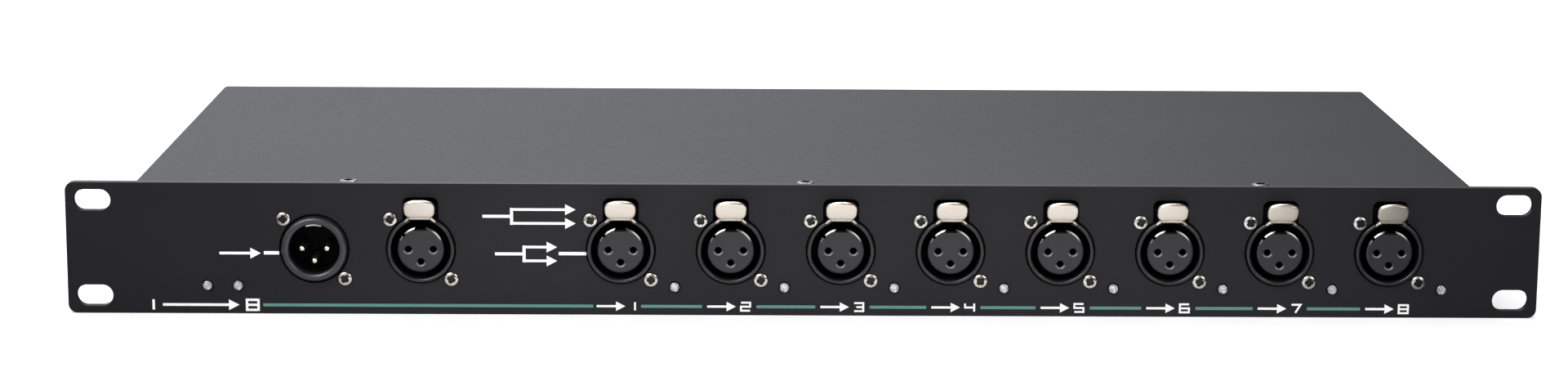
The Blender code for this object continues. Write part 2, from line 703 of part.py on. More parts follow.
def signal_board_mesh():
    middle = BOARD_FRONT + SIGNAL_BOARD_DEPTH / 2
    board = prism(rectangle(SIGNAL_BOARD_WIDTH, SIGNAL_BOARD_DEPTH, (0, middle)), "XY", BOARD_BOTTOM, BOARD_TOP)
    sunk = BOARD_TOP - BOARD_THICKNESS / 2
    driver_y = PANEL_FRONT + BLOCK_BACK + DRIVER_SIZE.y
    converter_y = BOARD_FRONT + SIGNAL_BOARD_DEPTH - CONVERTER_SIZE.y
    parts = [box(DRIVER_SIZE, x, driver_y, sunk) for x in OUTPUT_XS]
    parts += [box(CONVERTER_SIZE, x + STANDOFF_DIAMETER, converter_y, sunk) for x in OUTPUT_XS]
    return joined(board, gather(parts))


def power_board_mesh():
    middle = POWER_BOARD_FRONT + POWER_BOARD_DEPTH / 2
    outline = rectangle(POWER_BOARD_WIDTH, POWER_BOARD_DEPTH, (POWER_BOARD_X, middle))
    return prism(outline, "XY", BOARD_BOTTOM, BOARD_TOP)


def transformer_mesh():
    # Encapsulated transformer with a raised laminated core across it
    width, depth, height = TRANSFORMER_SIZE
    body = box((width, depth, height - CORE_PROUD), 0, 0, 0)
    core = box((CORE_WIDTH, depth + 2 * CORE_OVERHANG, height - CORE_RISE), 0, 0, CORE_RISE)
    return joined(body, core)


def capacitor_mesh():
    radius = CAPACITOR_DIAMETER / 2
    groove = CAPACITOR_BEAD + CAPACITOR_GROOVE
    profile = [(0, 0), (radius, 0), (radius, CAPACITOR_BEAD), (radius - CAPACITOR_GROOVE, groove),
               (radius, groove + CAPACITOR_GROOVE), (radius, CAPACITOR_HEIGHT), (0, CAPACITOR_HEIGHT)]
    return smooth(moved(turned(profile, 2 * SMALL_SIDES), turn=pi / 2))


def heatsink_mesh():
    # Extruded comb: a back plate with fins
    spacing = (SINK_LENGTH - SINK_FIN) / (SINK_FIN_COUNT - 1)
    outline = [(-SINK_LENGTH / 2, 0.0), (SINK_LENGTH / 2, 0.0)]
    for i in reversed(range(SINK_FIN_COUNT)):
        left = -SINK_LENGTH / 2 + i * spacing
        right = left + SINK_FIN
        outline += [(right, SINK_DEPTH), (left, SINK_DEPTH)]
        if i:
            outline += [(left, 2 * SINK_FIN), (left - spacing + SINK_FIN, 2 * SINK_FIN)]
    return prism(outline, "XY", 0.0, SINK_HEIGHT)


# Mains inlet and fuse drawer, drawn about the rear wall's outer face

def shroud_outline():
    half_w = SHROUD_WIDTH / 2
    low = SHROUD_Z - SHROUD_HEIGHT / 2
    high = SHROUD_Z + SHROUD_HEIGHT / 2
    return [(-half_w, low), (half_w, low), (half_w, high - SHROUD_CHAMFER),
            (half_w - SHROUD_CHAMFER, high), (SHROUD_CHAMFER - half_w, high), (-half_w, high - SHROUD_CHAMFER)]


def blade_places():
    level = SHROUD_Z - BLADE_STAGGER / 2
    return {"line": (-BLADE_SPACING / 2, level), "neutral": (BLADE_SPACING / 2, level),
            "earth": (0.0, level + BLADE_STAGGER)}


def inlet_mesh():
    face = GAP + INLET_FLANGE_THICKNESS
    flange = prism(rounded_rectangle(INLET_FLANGE_WIDTH, INLET_FLANGE_HEIGHT, FLANGE_CORNER), "XZ", GAP, face)
    body = prism(rectangle(INLET_BODY_WIDTH, INLET_BODY_HEIGHT), "XZ", -INLET_BODY_DEPTH, face - GAP)
    shroud = prism(shroud_outline(), "XZ", face - SHROUD_DEPTH, face + GAP)
    drawer_bay = prism(rectangle(DRAWER_WIDTH + 2 * GAP, DRAWER_HEIGHT + 2 * GAP, (0, DRAWER_Z)),
                       "XZ", face - DRAWER_DEPTH - GAP, face + GAP)
    roots = prisms([rectangle(BLADE_THICKNESS + 2 * GAP, BLADE_HEIGHT + 2 * GAP, place)
                    for place in blade_places().values()],
                   "XZ", face - SHROUD_DEPTH - BLADE_ROOT, face - SHROUD_DEPTH + GAP)
    return cut(joined(flange, body), shroud, drawer_bay, roots)


def blade_mesh():
    back = GAP + INLET_FLANGE_THICKNESS - SHROUD_DEPTH - BLADE_ROOT + GAP
    tip = GAP + INLET_FLANGE_THICKNESS - BLADE_RECESS
    half = BLADE_HEIGHT / 2
    taper = BLADE_THICKNESS / 2
    outline = [(back, -half), (tip - taper, -half), (tip, -half + taper), (tip, half - taper),
               (tip - taper, half), (back, half)]
    return prism(outline, "YZ", -BLADE_THICKNESS / 2, BLADE_THICKNESS / 2)


def fuse_y():
    back = GAP + INLET_FLANGE_THICKNESS - DRAWER_DEPTH
    return back + DRAWER_LIP + GAP + FUSE_DIAMETER / 2


def fuse_mesh():
    # Glass tube between two slightly wider metal caps
    cap = FUSE_DIAMETER / 2
    glass = cap - FUSE_CAP_STEP
    end = FUSE_LENGTH / 2
    inner = end - FUSE_CAP_LENGTH
    profile = [(0, -end), (cap, -end), (cap, -inner), (glass, -inner),
               (glass, inner), (cap, inner), (cap, end), (0, end)]
    return smooth(turned(profile, SMALL_SIDES + 2, "X"))


def fuse_drawer_mesh():
    # Drawer with a finger notch in its front edge and a long bay for the fuse
    face = GAP + INLET_FLANGE_THICKNESS
    back = face - DRAWER_DEPTH
    half_w = DRAWER_WIDTH / 2
    body = prism(rectangle(DRAWER_WIDTH, DRAWER_HEIGHT), "XZ", back, face)
    lip = prism(rectangle(DRAWER_WIDTH, DRAWER_HEIGHT), "XZ", face - DRAWER_LIP / 2, face + DRAWER_LIP)
    bay = prism(rectangle(FUSE_LENGTH + 2 * GAP, FUSE_DIAMETER + 2 * GAP, (0, fuse_y())),
                "XY", FUSE_Z - FUSE_DIAMETER / 2 - GAP, DRAWER_HEIGHT)
    notch = prism(rectangle(DRAWER_NOTCH, DRAWER_LIP, (half_w - DRAWER_NOTCH, face + DRAWER_LIP)),
                  "XY", -DRAWER_HEIGHT, DRAWER_HEIGHT)
    return cut(joined(body, lip), bay, notch)


# Rocker switch, drawn about the rear wall's outer face

def switch_frame_mesh():
    face = GAP + BEZEL_THICKNESS
    inner = 2 * BEZEL_RIM
    bezel = prism(rounded_rectangle(SWITCH_WIDTH, SWITCH_HEIGHT, BEZEL_RIM), "XZ", GAP, face)
    body = prism(rectangle(SWITCH_WIDTH - BEZEL_RIM - 2 * GAP, SWITCH_HEIGHT - BEZEL_RIM - 2 * GAP),
                 "XZ", -SWITCH_BODY_DEPTH, face - GAP)
    well = prism(rectangle(SWITCH_WIDTH - inner, SWITCH_HEIGHT - inner), "XZ", face - SWITCH_WELL_DEPTH, face + GAP)
    return cut(joined(bezel, body), well)


def rocker_mesh():
    # Dished rocker on a round hub, drawn about its hinge axis
    half = SWITCH_HEIGHT / 2 - BEZEL_RIM - GAP
    crest = ROCKER_PROUD
    end = half * cos(ROCKER_TILT) - crest * sin(ROCKER_TILT) - GAP
    front = [(crest, end), (crest - ROCKER_DISH, 0.0), (crest, -end)]
    hub = [(-ROCKER_HUB * cos(a), -ROCKER_HUB * sin(a)) for a in (pi / 3, 0, -pi / 3)]
    skirt = crest - 2 * ROCKER_DISH - end * sin(ROCKER_TILT) / 2
    outline = front + [(skirt, -end)] + hub + [(skirt, end)]
    width = SWITCH_WIDTH - 2 * BEZEL_RIM - 2 * GAP
    return smooth(prism(outline, "YZ", -width / 2, width / 2))


# Assembly

def add_receptacles(black, insert_black, nickel, gold):
    housing = female_housing_mesh()
    insert = insert_mesh()
    latch = latch_mesh()
    names = ["link"] + [f"output_{i + 1}" for i in range(OUTPUT_COUNT)]
    for name, x in zip(names, FEMALE_XS):
        place = Vector((x, PANEL_FRONT, AXIS_Z))
        add_part(f"{name}_housing", housing, black, place)
        add_part(f"{name}_insert", insert, insert_black, place)
        add_part(f"{name}_latch", latch, nickel, place + Vector((0, BARREL_Y, BARREL_Z)))
    place = Vector((INPUT_X, PANEL_FRONT, AXIS_Z))
    add_part("input_housing", male_housing_mesh(), black, place)
    pin = pin_mesh()
    for i, (x, z) in enumerate(contact_places()):
        add_part(f"input_pin_{i + 1}", pin, gold, place + Vector((x, 0, z)))


def add_lamps(lens):
    led = led_mesh()
    for i, x in enumerate(STATUS_LED_XS):
        add_part(f"status_led_{i + 1}", led, lens, (x, PANEL_FRONT, LED_Z))
    for i, x in enumerate(OUTPUT_LED_XS):
        add_part(f"output_led_{i + 1}", led, lens, (x, PANEL_FRONT, LED_Z))


def add_power_parts(board, dark, aluminium, sleeve):
    add_part("power_board", power_board_mesh(), board)
    seat = BOARD_TOP + GAP
    left = POWER_BOARD_X - POWER_BOARD_WIDTH / 2 + BOARD_PART_GAP
    right = POWER_BOARD_X + POWER_BOARD_WIDTH / 2 - BOARD_PART_GAP
    front = POWER_BOARD_FRONT + BOARD_PART_GAP
    back = POWER_BOARD_FRONT + POWER_BOARD_DEPTH - BOARD_PART_GAP
    transformer_place = (right - TRANSFORMER_SIZE.x / 2, back - TRANSFORMER_SIZE.y / 2, seat)
    add_part("transformer", transformer_mesh(), dark, transformer_place)
    radius = CAPACITOR_DIAMETER / 2
    add_part("smoothing_capacitor", capacitor_mesh(), sleeve, (left + radius, back - radius, seat))
    add_part("regulator_heatsink", heatsink_mesh(), aluminium, (left + SINK_LENGTH / 2, front, seat))


def add_rear_fittings(black, brass):
    wall = Vector((INLET_X, REAR_WALL, REAR_Z))
    add_part("mains_inlet", inlet_mesh(), black, wall)
    blade = blade_mesh()
    for name, (x, z) in blade_places().items():
        add_part(f"inlet_{name}_blade", blade, brass, wall + Vector((x, 0, z)))
    add_part("fuse_drawer", fuse_drawer_mesh(), black, wall + Vector((0, 0, DRAWER_Z)))
    add_part("fuse", fuse_mesh(), brass, wall + Vector((0, fuse_y(), DRAWER_Z + FUSE_Z)))
    wall = Vector((SWITCH_X, REAR_WALL, REAR_Z))
    add_part("switch_frame", switch_frame_mesh(), black, wall)
    pivot = wall + Vector((0, GAP + BEZEL_THICKNESS - ROCKER_DISH, 0))
    add_part("switch_rocker", rocker_mesh(), black, pivot, ROCKER_TILT)


def build():
    clear_scene()
    painted = finish("textured_black_paint", (0.022, 0.022, 0.025), 0.55)
    panel = finish("anodised_black_panel", (0.016, 0.016, 0.019), 0.45)
    black = finish("moulded_black_plastic", (0.018, 0.018, 0.020), 0.35)
    insert_black = finish("insert_plastic", (0.040, 0.040, 0.044), 0.5)
    nickel = finish("nickel_plate", (0.72, 0.70, 0.67), 0.25, 1.0)
    gold = finish("gold_plate", (0.90, 0.70, 0.32), 0.25, 1.0)
    brass = finish("plated_brass", (0.75, 0.72, 0.66), 0.3, 1.0)
    lens = finish("clear_lens", (0.85, 0.87, 0.88), 0.1, 0.0, 0.5)
    board = finish("green_board", (0.02, 0.12, 0.05), 0.5)
    dark = finish("potting_compound", (0.03, 0.03, 0.035), 0.5)
    aluminium = finish("bare_aluminium", (0.75, 0.76, 0.78), 0.4, 1.0)
    sleeve = finish("capacitor_sleeve", (0.03, 0.04, 0.09), 0.4)
    add_part("front_panel", front_panel_mesh(), panel)
    add_part("base_tray", smooth(base_tray_mesh()), painted)
    add_part("top_cover", smooth(top_cover_mesh()), painted)
    add_receptacles(black, insert_black, nickel, gold)
    add_lamps(lens)
    add_part("signal_board", signal_board_mesh(), board)
    add_power_parts(board, dark, aluminium, sleeve)
    add_rear_fittings(black, brass)


build()
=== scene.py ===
# Looks of a rack-mount signal splitter for stage lighting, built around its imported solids.
# Everything is in metres, in the solids' frame: +Z is up and the front panel faces -Y.

from math import asin, cos, hypot, pi, radians, sin, sqrt, tan

import bmesh
import bpy
from mathutils import Matrix, Vector


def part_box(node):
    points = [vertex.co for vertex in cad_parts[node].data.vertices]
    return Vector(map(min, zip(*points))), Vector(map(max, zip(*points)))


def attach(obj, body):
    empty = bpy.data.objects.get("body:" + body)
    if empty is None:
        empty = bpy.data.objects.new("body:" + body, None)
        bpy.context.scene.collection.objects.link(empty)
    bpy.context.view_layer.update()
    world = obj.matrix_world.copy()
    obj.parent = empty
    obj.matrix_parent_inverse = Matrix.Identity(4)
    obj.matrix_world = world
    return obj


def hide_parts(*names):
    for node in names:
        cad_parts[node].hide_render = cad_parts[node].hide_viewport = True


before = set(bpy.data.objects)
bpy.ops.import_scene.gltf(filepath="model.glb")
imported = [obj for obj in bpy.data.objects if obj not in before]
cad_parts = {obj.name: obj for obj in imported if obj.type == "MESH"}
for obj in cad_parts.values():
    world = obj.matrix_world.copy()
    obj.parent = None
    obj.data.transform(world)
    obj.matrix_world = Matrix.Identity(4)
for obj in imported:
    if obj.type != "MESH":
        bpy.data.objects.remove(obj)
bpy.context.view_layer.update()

# Camera, found by fitting the panel's corners, slots, sockets and lamps
CAMERA_PLACE = Vector((-0.02382, -1.16745, 0.24733))
CAMERA_PITCH = radians(11.0527)
CAMERA_YAW = radians(0.9216)
CAMERA_ROLL = radians(0.4259)
IMAGE_WIDTH = 1920
IMAGE_HEIGHT = 450
FOCAL_PIXELS = 4073.2
OPTICAL_CENTRE = (961.7, 240.5)
SENSOR_WIDTH = 36.0

# Panel and case
PANEL_CORNER = 0.003
PANEL_EDGE = 0.0002
SLOT_LENGTH = 0.012
SLOT_HEIGHT = 0.007
SLOT_INSET_X = 0.00875
SLOT_INSET_Z = 0.005955
SHEET = 0.0012
BEND_RADIUS = 0.0008
COVER_EDGE = 0.0002
REAR_LIP = 0.0075
GAP = 0.0003

# Receptacles, drawn with the panel's front face at y = 0 and the socket's axis at z = 0
RING_RADIUS = 0.0112
RING_HOLE = 0.0114
RING_PROUD = 0.0013
RING_FLOOR = 0.001
RING_OVERLAP = 0.00004
LIP_RADIUS = 0.0110
LIP_TURN = radians(152)
STEP_LEVEL = 0.0007
BLOCK_FRONT = 0.0048
BLOCK_BACK = 0.0218
BLOCK_HALF = 0.013
BLOCK_TOP = 0.013
BLOCK_BELOW = 0.0115
TOWER_HALF = 0.0071
TOWER_TOP = 0.0142
# Cuts for the lever's pad and for its tongue: width, height and middle
MOUTH = (0.0112, 0.0130, (0, 0.0159))
CHANNEL = (0.0078, 0.0037, (0, 0.01155))
BARREL_ROOM = 0.0018
SCREW_OFFSET = 0.0099
SCREW_HOLE = 0.0015
SOCKET_RADIUS = 0.0097
SOCKET_FLOOR = 0.0140
INSERT_RADIUS = 0.0075
INSERT_RECESS = 0.0005
INSERT_CHAMFER = 0.0005
INSERT_LEAN = radians(31)
KEYWAY_WIDTH = 0.0032
KEYWAY_DEPTH = 0.0008
SIDE_KEY_ANGLE = radians(139)
SIDE_KEY_WIDTH = 0.0011
SIDE_KEY_DEPTH = 0.00075
SIDE_KEY_END = 0.004
CONTACT_CIRCLE = 0.0041
CONTACT_PLACES = ((-CONTACT_CIRCLE, 0.0), (CONTACT_CIRCLE, 0.0), (0.0, -CONTACT_CIRCLE))
CONTACT_RADIUS = 0.00105
CONTACT_FUNNEL = 0.0006
CONTACT_END = 0.009
NOTCH_HALF = 0.0058
NOTCH_TOP = 0.0171
NOTCH_CORNER = 0.0022

# Numbers moulded on the insert: digit and place
MOULDED_NUMBERS = ((2, -0.0041, 0.0033), (1, 0.0041, 0.0033), (3, 0.0027, -0.0047))
MARK_WIDTH = 0.0007
MARK_HEIGHT = 0.001
MARK_STROKE = 0.0002
MARK_BAR = 0.2
MARK_PROUD = 0.00008
MARK_ROOT = 0.0001

# Latch lever
TONGUE_HALF = 0.0036
TONGUE_Z = 0.0109
TONGUE_THICKNESS = 0.001
BARREL_Y = 0.0168
BARREL_RADIUS = 0.0012
FOOT_Y = -0.0031
FOOT_DROP = 0.0002
FOOT_RUN = 0.0012
PAD_LENGTH = 0.0072
PAD_THICKNESS = 0.0012
PAD_LEAN = radians(24)
PAD_BEND = 0.0007
PAD_START = 0.00005
PAD_FOOT = 0.00045
PAD_WAIST = 0.0037
PAD_CROWN = 0.0003
CORNER_LENGTH = 0.0019
CORNER_WIDTH = 0.00135
WING_ROOT = 0.0032
WING_TIP = 0.0052
# Tongue and its wings in mm: place along it, half width and droop
WINGS = ((3.0, 3.6, 0), (0.2, 3.65, 0), (-0.6, 4.4, 0.9), (-1.2, 5.0, 1.3), (-1.8, 5.2, 1.3),
         (-2.2, 5.1, 1.2), (-2.5, 4.4, 0.8))
# Pad's bowed sides and arched top: distance below the top and half width in mm, share of the thickness
PAD_TOP = ((2.9, 5.14, 1), (2.2, 5.08, 1), (1.6, 4.9, 1), (1.2, 4.62, 1), (0.9, 4.24, 1), (0.62, 3.66, 0.97),
           (0.4, 3.0, 0.9), (0.22, 2.3, 0.76), (0.1, 1.6, 0.55), (0.0, 0.9, 0.25))
# Tooth seen from the side
TOOTH = ((0.0054, 0.00945), (0.0072, 0.0092), (0.0072, TONGUE_Z), (0.0054, TONGUE_Z))
TOOTH_HALF = 0.002
TOOTH_EDGE = 0.0001

# Male receptacle
SHELL_BORE = 0.0081
SHELL_OUTER = 0.0107
SHELL_PROUD = 0.0020
SHELL_TURN = radians(140)
SHELL_FLOOR = 0.0115
KEY_FLAT = 0.0076
# Right half of the key ridge, from its root to its tip
KEY_RIDGE = [(0.0018, KEY_FLAT - 0.0001), (0.0017, KEY_FLAT - 0.0007)]
# Ground spring's bent front: radius and depth of its corners
SPRING_WIDTH = 0.0050
SPRING_INNER = SHELL_BORE - 0.0002
SPRING_OUTER = SHELL_BORE + 0.0003
SPRING_SECTION = ((SPRING_INNER, 0.0012), (SPRING_INNER, -0.00156), (SPRING_OUTER, -0.00139),
                  (SPRING_OUTER, 0.0012))
PIN_RADIUS = 0.0012
PIN_NOSE = PIN_RADIUS * 1.2
PIN_TIP = -0.0006
PIN_BACK = 0.0142
PIN_HOLE = 0.003

# Screws
SCREW_HEAD = 0.0023
SCREW_HEAD_HEIGHT = 0.0012
SCREW_LENGTH = 0.0045
SCREW_CROSS = 0.00135
LOW_HEAD = 0.0028
LOW_HEAD_HEIGHT = 0.00066
LOW_SCREW_LENGTH = 0.0022
LOW_CROSS = 0.0016
SCREW_SHANK = 0.0014
SCREW_RIM = 0.0001
COVER_SCREW_PITCH = 0.1498
COVER_SCREW_INSET = 0.0033
SIDE_SCREW_SPACING = 0.120
SIDE_SCREW_HEIGHT = 0.0075
INLET_SCREW_OFFSET = 0.020
# Turn of each screw's cross, so that neighbours differ
SCREW_TURN = radians(37)

# Indicator lamps
LED_RADIUS = 0.0015
LED_PROUD = 0.0021
# Radius and depth of the lens's flange and back, and of the bright cup in it
LENS_BACK = [(LED_RADIUS, 0.0048), (0.0019, 0.0048), (0.0019, 0.0058), (0, 0.0058)]
CUP_PROFILE = ((0, -0.0001), (0.0005, -0.0001), (0.00102, -0.0006), (0.00112, -0.0005),
               (0.00112, 0.0040), (0, 0.0040))
CUP_SHIFT = 0.0001

# Prints, measured from the panel's middle
INK = 0.00004
PRINT_LEVEL = -0.0189
NUMERAL_WIDTH = 0.0030
NUMERAL_HEIGHT = 0.0027
NUMERAL_STROKE = 0.00064
NUMERAL_PLACES = (-0.0558, -0.0195, 0.0177, 0.0542, 0.0902, 0.1250, 0.1618, 0.1973)
RANGE_SIZE = 1.25
RANGE_NUMERALS = ((1, -0.2153), (8, -0.1829))
RANGE_ARROW = (-0.2104, PRINT_LEVEL, 0.0250)
ARROW_HEIGHT = 0.0036
SMALL_ARROW_OFFSET = 0.0126
SMALL_ARROW = (0.0094, 0.0032)
SPLIT_STEM = 0.0090
SPLIT_BAR = 0.0010
SPLIT_SPACING = 0.0023
# Beside a receptacle: distance to the left of its axis, level and length
INPUT_LEADER = (0.0140, -0.00147, 0.0050)
OUTPUT_LEADER = (0.01577, -0.00134, 0.0090)
INPUT_ARROW = (0.0310, -0.0016, 0.0135)
SPLIT_ARROWS = ((0.0451, 0.0110, 0.0204), (0.0411, -0.0015, 0.0103))
LEADER_THICKNESS = 0.0011
LINE_THICKNESS = 0.0010
FIRST_LINE = 0.1081
FIRST_LINE_MIDDLE = -0.12355
LINE_AFTER_FIRST = 0.0020
LINE_AFTER = 0.0036
LINE_BEFORE = 0.0143

# Rear fittings
ROCKER_HALF_WIDTH = 0.0054
ROCKER_END = 0.00777
ROCKER_CREST = 0.0022
ROCKER_DISH = 0.0012
ROCKER_TILT = radians(7)
ROCKER_BACK = 0.0026
ROCKER_EDGE = 0.0004
# Marks on the rocker: the line's width, height and corner, the ring's radii
ROCKER_LINE = (0.0007, 0.0032, 0.0002)
ROCKER_RING = (0.0017, 0.0011)
ROCKER_MARK = 0.00012
ROCKER_MARK_SUNK = 0.00001
ROCKER_MARK_LEVEL = 0.0042
FUSE_END = 0.010
FUSE_CAP = 0.0026
FUSE_CAP_LENGTH = 0.005
FUSE_TUBE = 0.0023
FUSE_EDGE = 0.0003
FUSE_WIRE = 0.0001

# Stage
FLOOR_SIZE = 8.0
FLOOR_WHITE = (0.86, 0.86, 0.86)
FLOOR_GLOW = 0.22
# Floor's painted shade in mirrors: where its fade starts and ends across, and its tones
FADE_SPAN = (0.10, 0.26)
FADE_TONES = (1.0, 0.05)
WALL_SPAN = (-0.1, 0.33)
WALL_TONES = (0.84, 0.0)
COOL_TINT = (0.93, 0.95, 1.0, 1)
AMBIENT = 0.45
# Studio lamps: name, place, size and power
STUDIO_LAMPS = (("key", (-1.0, -1.6, 1.7), (1.4, 1.0), 42), ("fill", (1.5, -1.5, 1.1), (1.2, 1.0), 16),
                ("top", (-0.2, 0.8, 1.8), (1.6, 0.8), 26))

# Sides of large and of small round forms
LARGE_ROUND = 96
SMALL_ROUND = 24
# Distances at which two points become one, and under which an edge is a cut's leftover
WELD = 1e-7
FINE_WELD = 1e-8
SLIVER = 1e-6
# Distances by which faces are told apart
FACE_MARGIN = 0.00001
RECESS_MARGIN = 0.00004
LIP_MARGIN = 0.0001

FEMALES = ["link"] + [f"output_{i}" for i in range(1, 9)]
SOCKETS = ["input"] + FEMALES
LAMPS = ["status_led_1", "status_led_2"] + [f"output_led_{i}" for i in range(1, 9)]

panel_low, panel_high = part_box("front_panel")
cover_low, cover_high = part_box("top_cover")
FRONT = panel_low.y
BACK = panel_high.y
AXIS_Z = (panel_low.z + panel_high.z) / 2
INLET_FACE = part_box("mains_inlet")[1].y
BEZEL_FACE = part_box("switch_frame")[1].y


def middle(node):
    low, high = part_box(node)
    return (low + high) / 2


def socket_place(name):
    return Vector((middle(f"{name}_housing").x, FRONT, AXIS_Z))


# Outlines: closed loops of points, counter-clockwise seen from the front

def arc(centre, radius, start, end, steps):
    angles = [start + (end - start) * i / steps for i in range(steps + 1)]
    return [(centre[0] + radius * cos(a), centre[1] + radius * sin(a)) for a in angles]


def circle(radius, centre=(0.0, 0.0), sides=48):
    return arc(centre, radius, 0.0, 2 * pi, sides)[:-1]


def quarter(steps):
    # Angles of a quarter turn in even steps
    return [i * pi / 2 / steps for i in range(steps + 1)]


def rectangle(width, height, centre=(0.0, 0.0)):
    x, z = centre
    return [(x - width / 2, z - height / 2), (x + width / 2, z - height / 2),
            (x + width / 2, z + height / 2), (x - width / 2, z + height / 2)]


def rounded_rectangle(width, height, radius, centre=(0.0, 0.0), steps=8):
    points = []
    for i, (sx, sz) in enumerate([(1, 1), (-1, 1), (-1, -1), (1, -1)]):
        corner = (centre[0] + sx * (width / 2 - radius), centre[1] + sz * (height / 2 - radius))
        points += arc(corner, radius, i * pi / 2, (i + 1) * pi / 2, steps)
    return points


def rounded_slot(width, height, centre, steps=16):
    radius = height / 2
    reach = width / 2 - radius
    right = arc((centre[0] + reach, centre[1]), radius, -pi / 2, pi / 2, steps)
    return right + arc((centre[0] - reach, centre[1]), radius, pi / 2, 3 * pi / 2, steps)


def latch_opening(centre):
    # Round hole for the ring that opens upward into a rounded notch for the latch
    half_angle = asin(NOTCH_HALF / RING_HOLE)
    points = arc((0, 0), RING_HOLE, pi / 2 + half_angle, 5 * pi / 2 - half_angle, 64)
    inner = NOTCH_HALF - NOTCH_CORNER
    points += arc((inner, NOTCH_TOP - NOTCH_CORNER), NOTCH_CORNER, 0, pi / 2, 8)
    points += arc((-inner, NOTCH_TOP - NOTCH_CORNER), NOTCH_CORNER, pi / 2, pi, 8)
    return [(centre[0] + x, centre[1] + z) for x, z in points]


def inset(points, distance):
    # Move an outline towards the side on its left by a distance
    moved_points = []
    for i, point in enumerate(points):
        here = Vector(point)
        before = (here - Vector(points[i - 1])).normalized()
        after = (Vector(points[(i + 1) % len(points)]) - here).normalized()
        left = Vector((-before.y - after.y, before.x + after.x))
        moved_points.append(here + left * (distance / (1 + before.dot(after))))
    return moved_points


# Meshes

# Turns a form drawn across the panel so that its outline lies in the side view
SIDEWAYS = Matrix(((0, 1, 0, 0), (1, 0, 0, 0), (0, 0, 1, 0), (0, 0, 0, 1)))


def mesh_from(bm):
    mesh = bpy.data.meshes.new("form")
    bm.to_mesh(mesh)
    bm.free()
    return mesh


def welded(bm, weld=WELD):
    bmesh.ops.remove_doubles(bm, verts=bm.verts, dist=weld)
    bmesh.ops.recalc_face_normals(bm, faces=bm.faces)
    return mesh_from(bm)


def skin(bm, near, far):
    # Band of faces between two rings with equal numbers of points
    for i in range(len(near)):
        j = (i + 1) % len(near)
        bm.faces.new((near[i], near[j], far[j], far[i]))


def slab(outlines, front, back, edge=0.0, back_edge=0.0, steps=3, lean=None):
    # Plate between two depths: the first outline is its border, the others are holes. Its edges are
    # rounded, or the front one is a flat chamfer where its lean is given
    loops = [list(outlines[0])] + [list(reversed(hole)) for hole in outlines[1:]]
    turns = [i / steps * pi / 2 for i in range(steps + 1)]
    levels = [(edge * (1 - sin(a)), front + edge * (1 - cos(a))) for a in turns] if edge else [(0, front)]
    if lean:
        levels = [(edge, front), (0, front + edge * tan(lean))]
    if back_edge:
        levels += [(back_edge * (1 - cos(a)), back - back_edge * (1 - sin(a))) for a in turns]
    else:
        levels.append((0, back))
    bm = bmesh.new()
    rings = [[[bm.verts.new((x, y, z)) for x, z in inset(loop, shift)] for loop in loops]
             for shift, y in levels]
    for near, far in zip(rings, rings[1:]):
        for a, b in zip(near, far):
            skin(bm, a, b)
    for level in (rings[0], rings[-1]):
        if len(level) == 1:
            bm.faces.new(level[0])
            continue
        edges = [bm.edges.get((ring[i - 1], ring[i])) for ring in level for i in range(len(ring))]
        bmesh.ops.triangle_fill(bm, use_beauty=True, use_dissolve=False, edges=edges)
    return welded(bm)


def turned(profile, sides=64, axis="Y"):
    # Turn a profile of (radius, place along the axis) points
    direction = Vector((0, 1, 0)) if axis == "Y" else Vector((1, 0, 0))
    bm = bmesh.new()
    points = [(0, along, radius) if axis == "Y" else (along, 0, radius) for radius, along in profile]
    verts = [bm.verts.new(point) for point in points]
    edges = [bm.edges.new(pair) for pair in zip(verts, verts[1:])]
    bmesh.ops.spin(bm, geom=verts + edges, cent=(0, 0, 0), axis=direction,
                   angle=2 * pi, steps=sides, use_merge=True)
    return welded(bm)


def lofted(sections):
    # Form over a row of closed sections
    bm = bmesh.new()
    rings = [[bm.verts.new(point) for point in section] for section in sections]
    for near, far in zip(rings, rings[1:]):
        skin(bm, near, far)
    bm.faces.new(rings[0])
    bm.faces.new(rings[-1])
    return welded(bm, FINE_WELD)


def moved(mesh, offset=(0, 0, 0), turn=0.0, axis="X"):
    mesh.transform(Matrix.Translation(offset) @ Matrix.Rotation(turn, 4, axis))
    return mesh


def gathered(meshes):
    bm = bmesh.new()
    for mesh in meshes:
        bm.from_mesh(mesh)
        bpy.data.meshes.remove(mesh)
    return mesh_from(bm)


def add_modifier(obj, name, kind, **settings):
    modifier = obj.modifiers.new(name, kind)
    for key, value in settings.items():
        setattr(modifier, key, value)


def combined(body, other, operation):
    base = bpy.data.objects.new("base", body)
    tool = bpy.data.objects.new("tool", other)
    for obj in (base, tool):
        bpy.context.collection.objects.link(obj)
    add_modifier(base, "boolean", "BOOLEAN", operation=operation, object=tool, solver="EXACT")
    graph = bpy.context.evaluated_depsgraph_get()
    mesh = bpy.data.meshes.new_from_object(base.evaluated_get(graph))
    for obj in (base, tool):
        bpy.data.objects.remove(obj, do_unlink=True)
    # Clear away the hair-thin faces that a cut can leave
    bm = bmesh.new()
    bm.from_mesh(mesh)
    bmesh.ops.remove_doubles(bm, verts=bm.verts, dist=SLIVER)
    bmesh.ops.dissolve_degenerate(bm, dist=SLIVER, edges=bm.edges)
    bm.to_mesh(mesh)
    bm.free()
    return mesh


def shared_out(mesh, materials, finish_of):
    # Give each face the finish that the rule picks for it
    parts = [materials.index(finish_of(face)) for face in mesh.polygons]
    mesh.materials.clear()
    for material in materials:
        mesh.materials.append(material)
    mesh.polygons.foreach_set("material_index", parts)
    return mesh


def reach_of(face):
    # Distance of a face's middle from the axis
    return hypot(face.center.x, face.center.z)


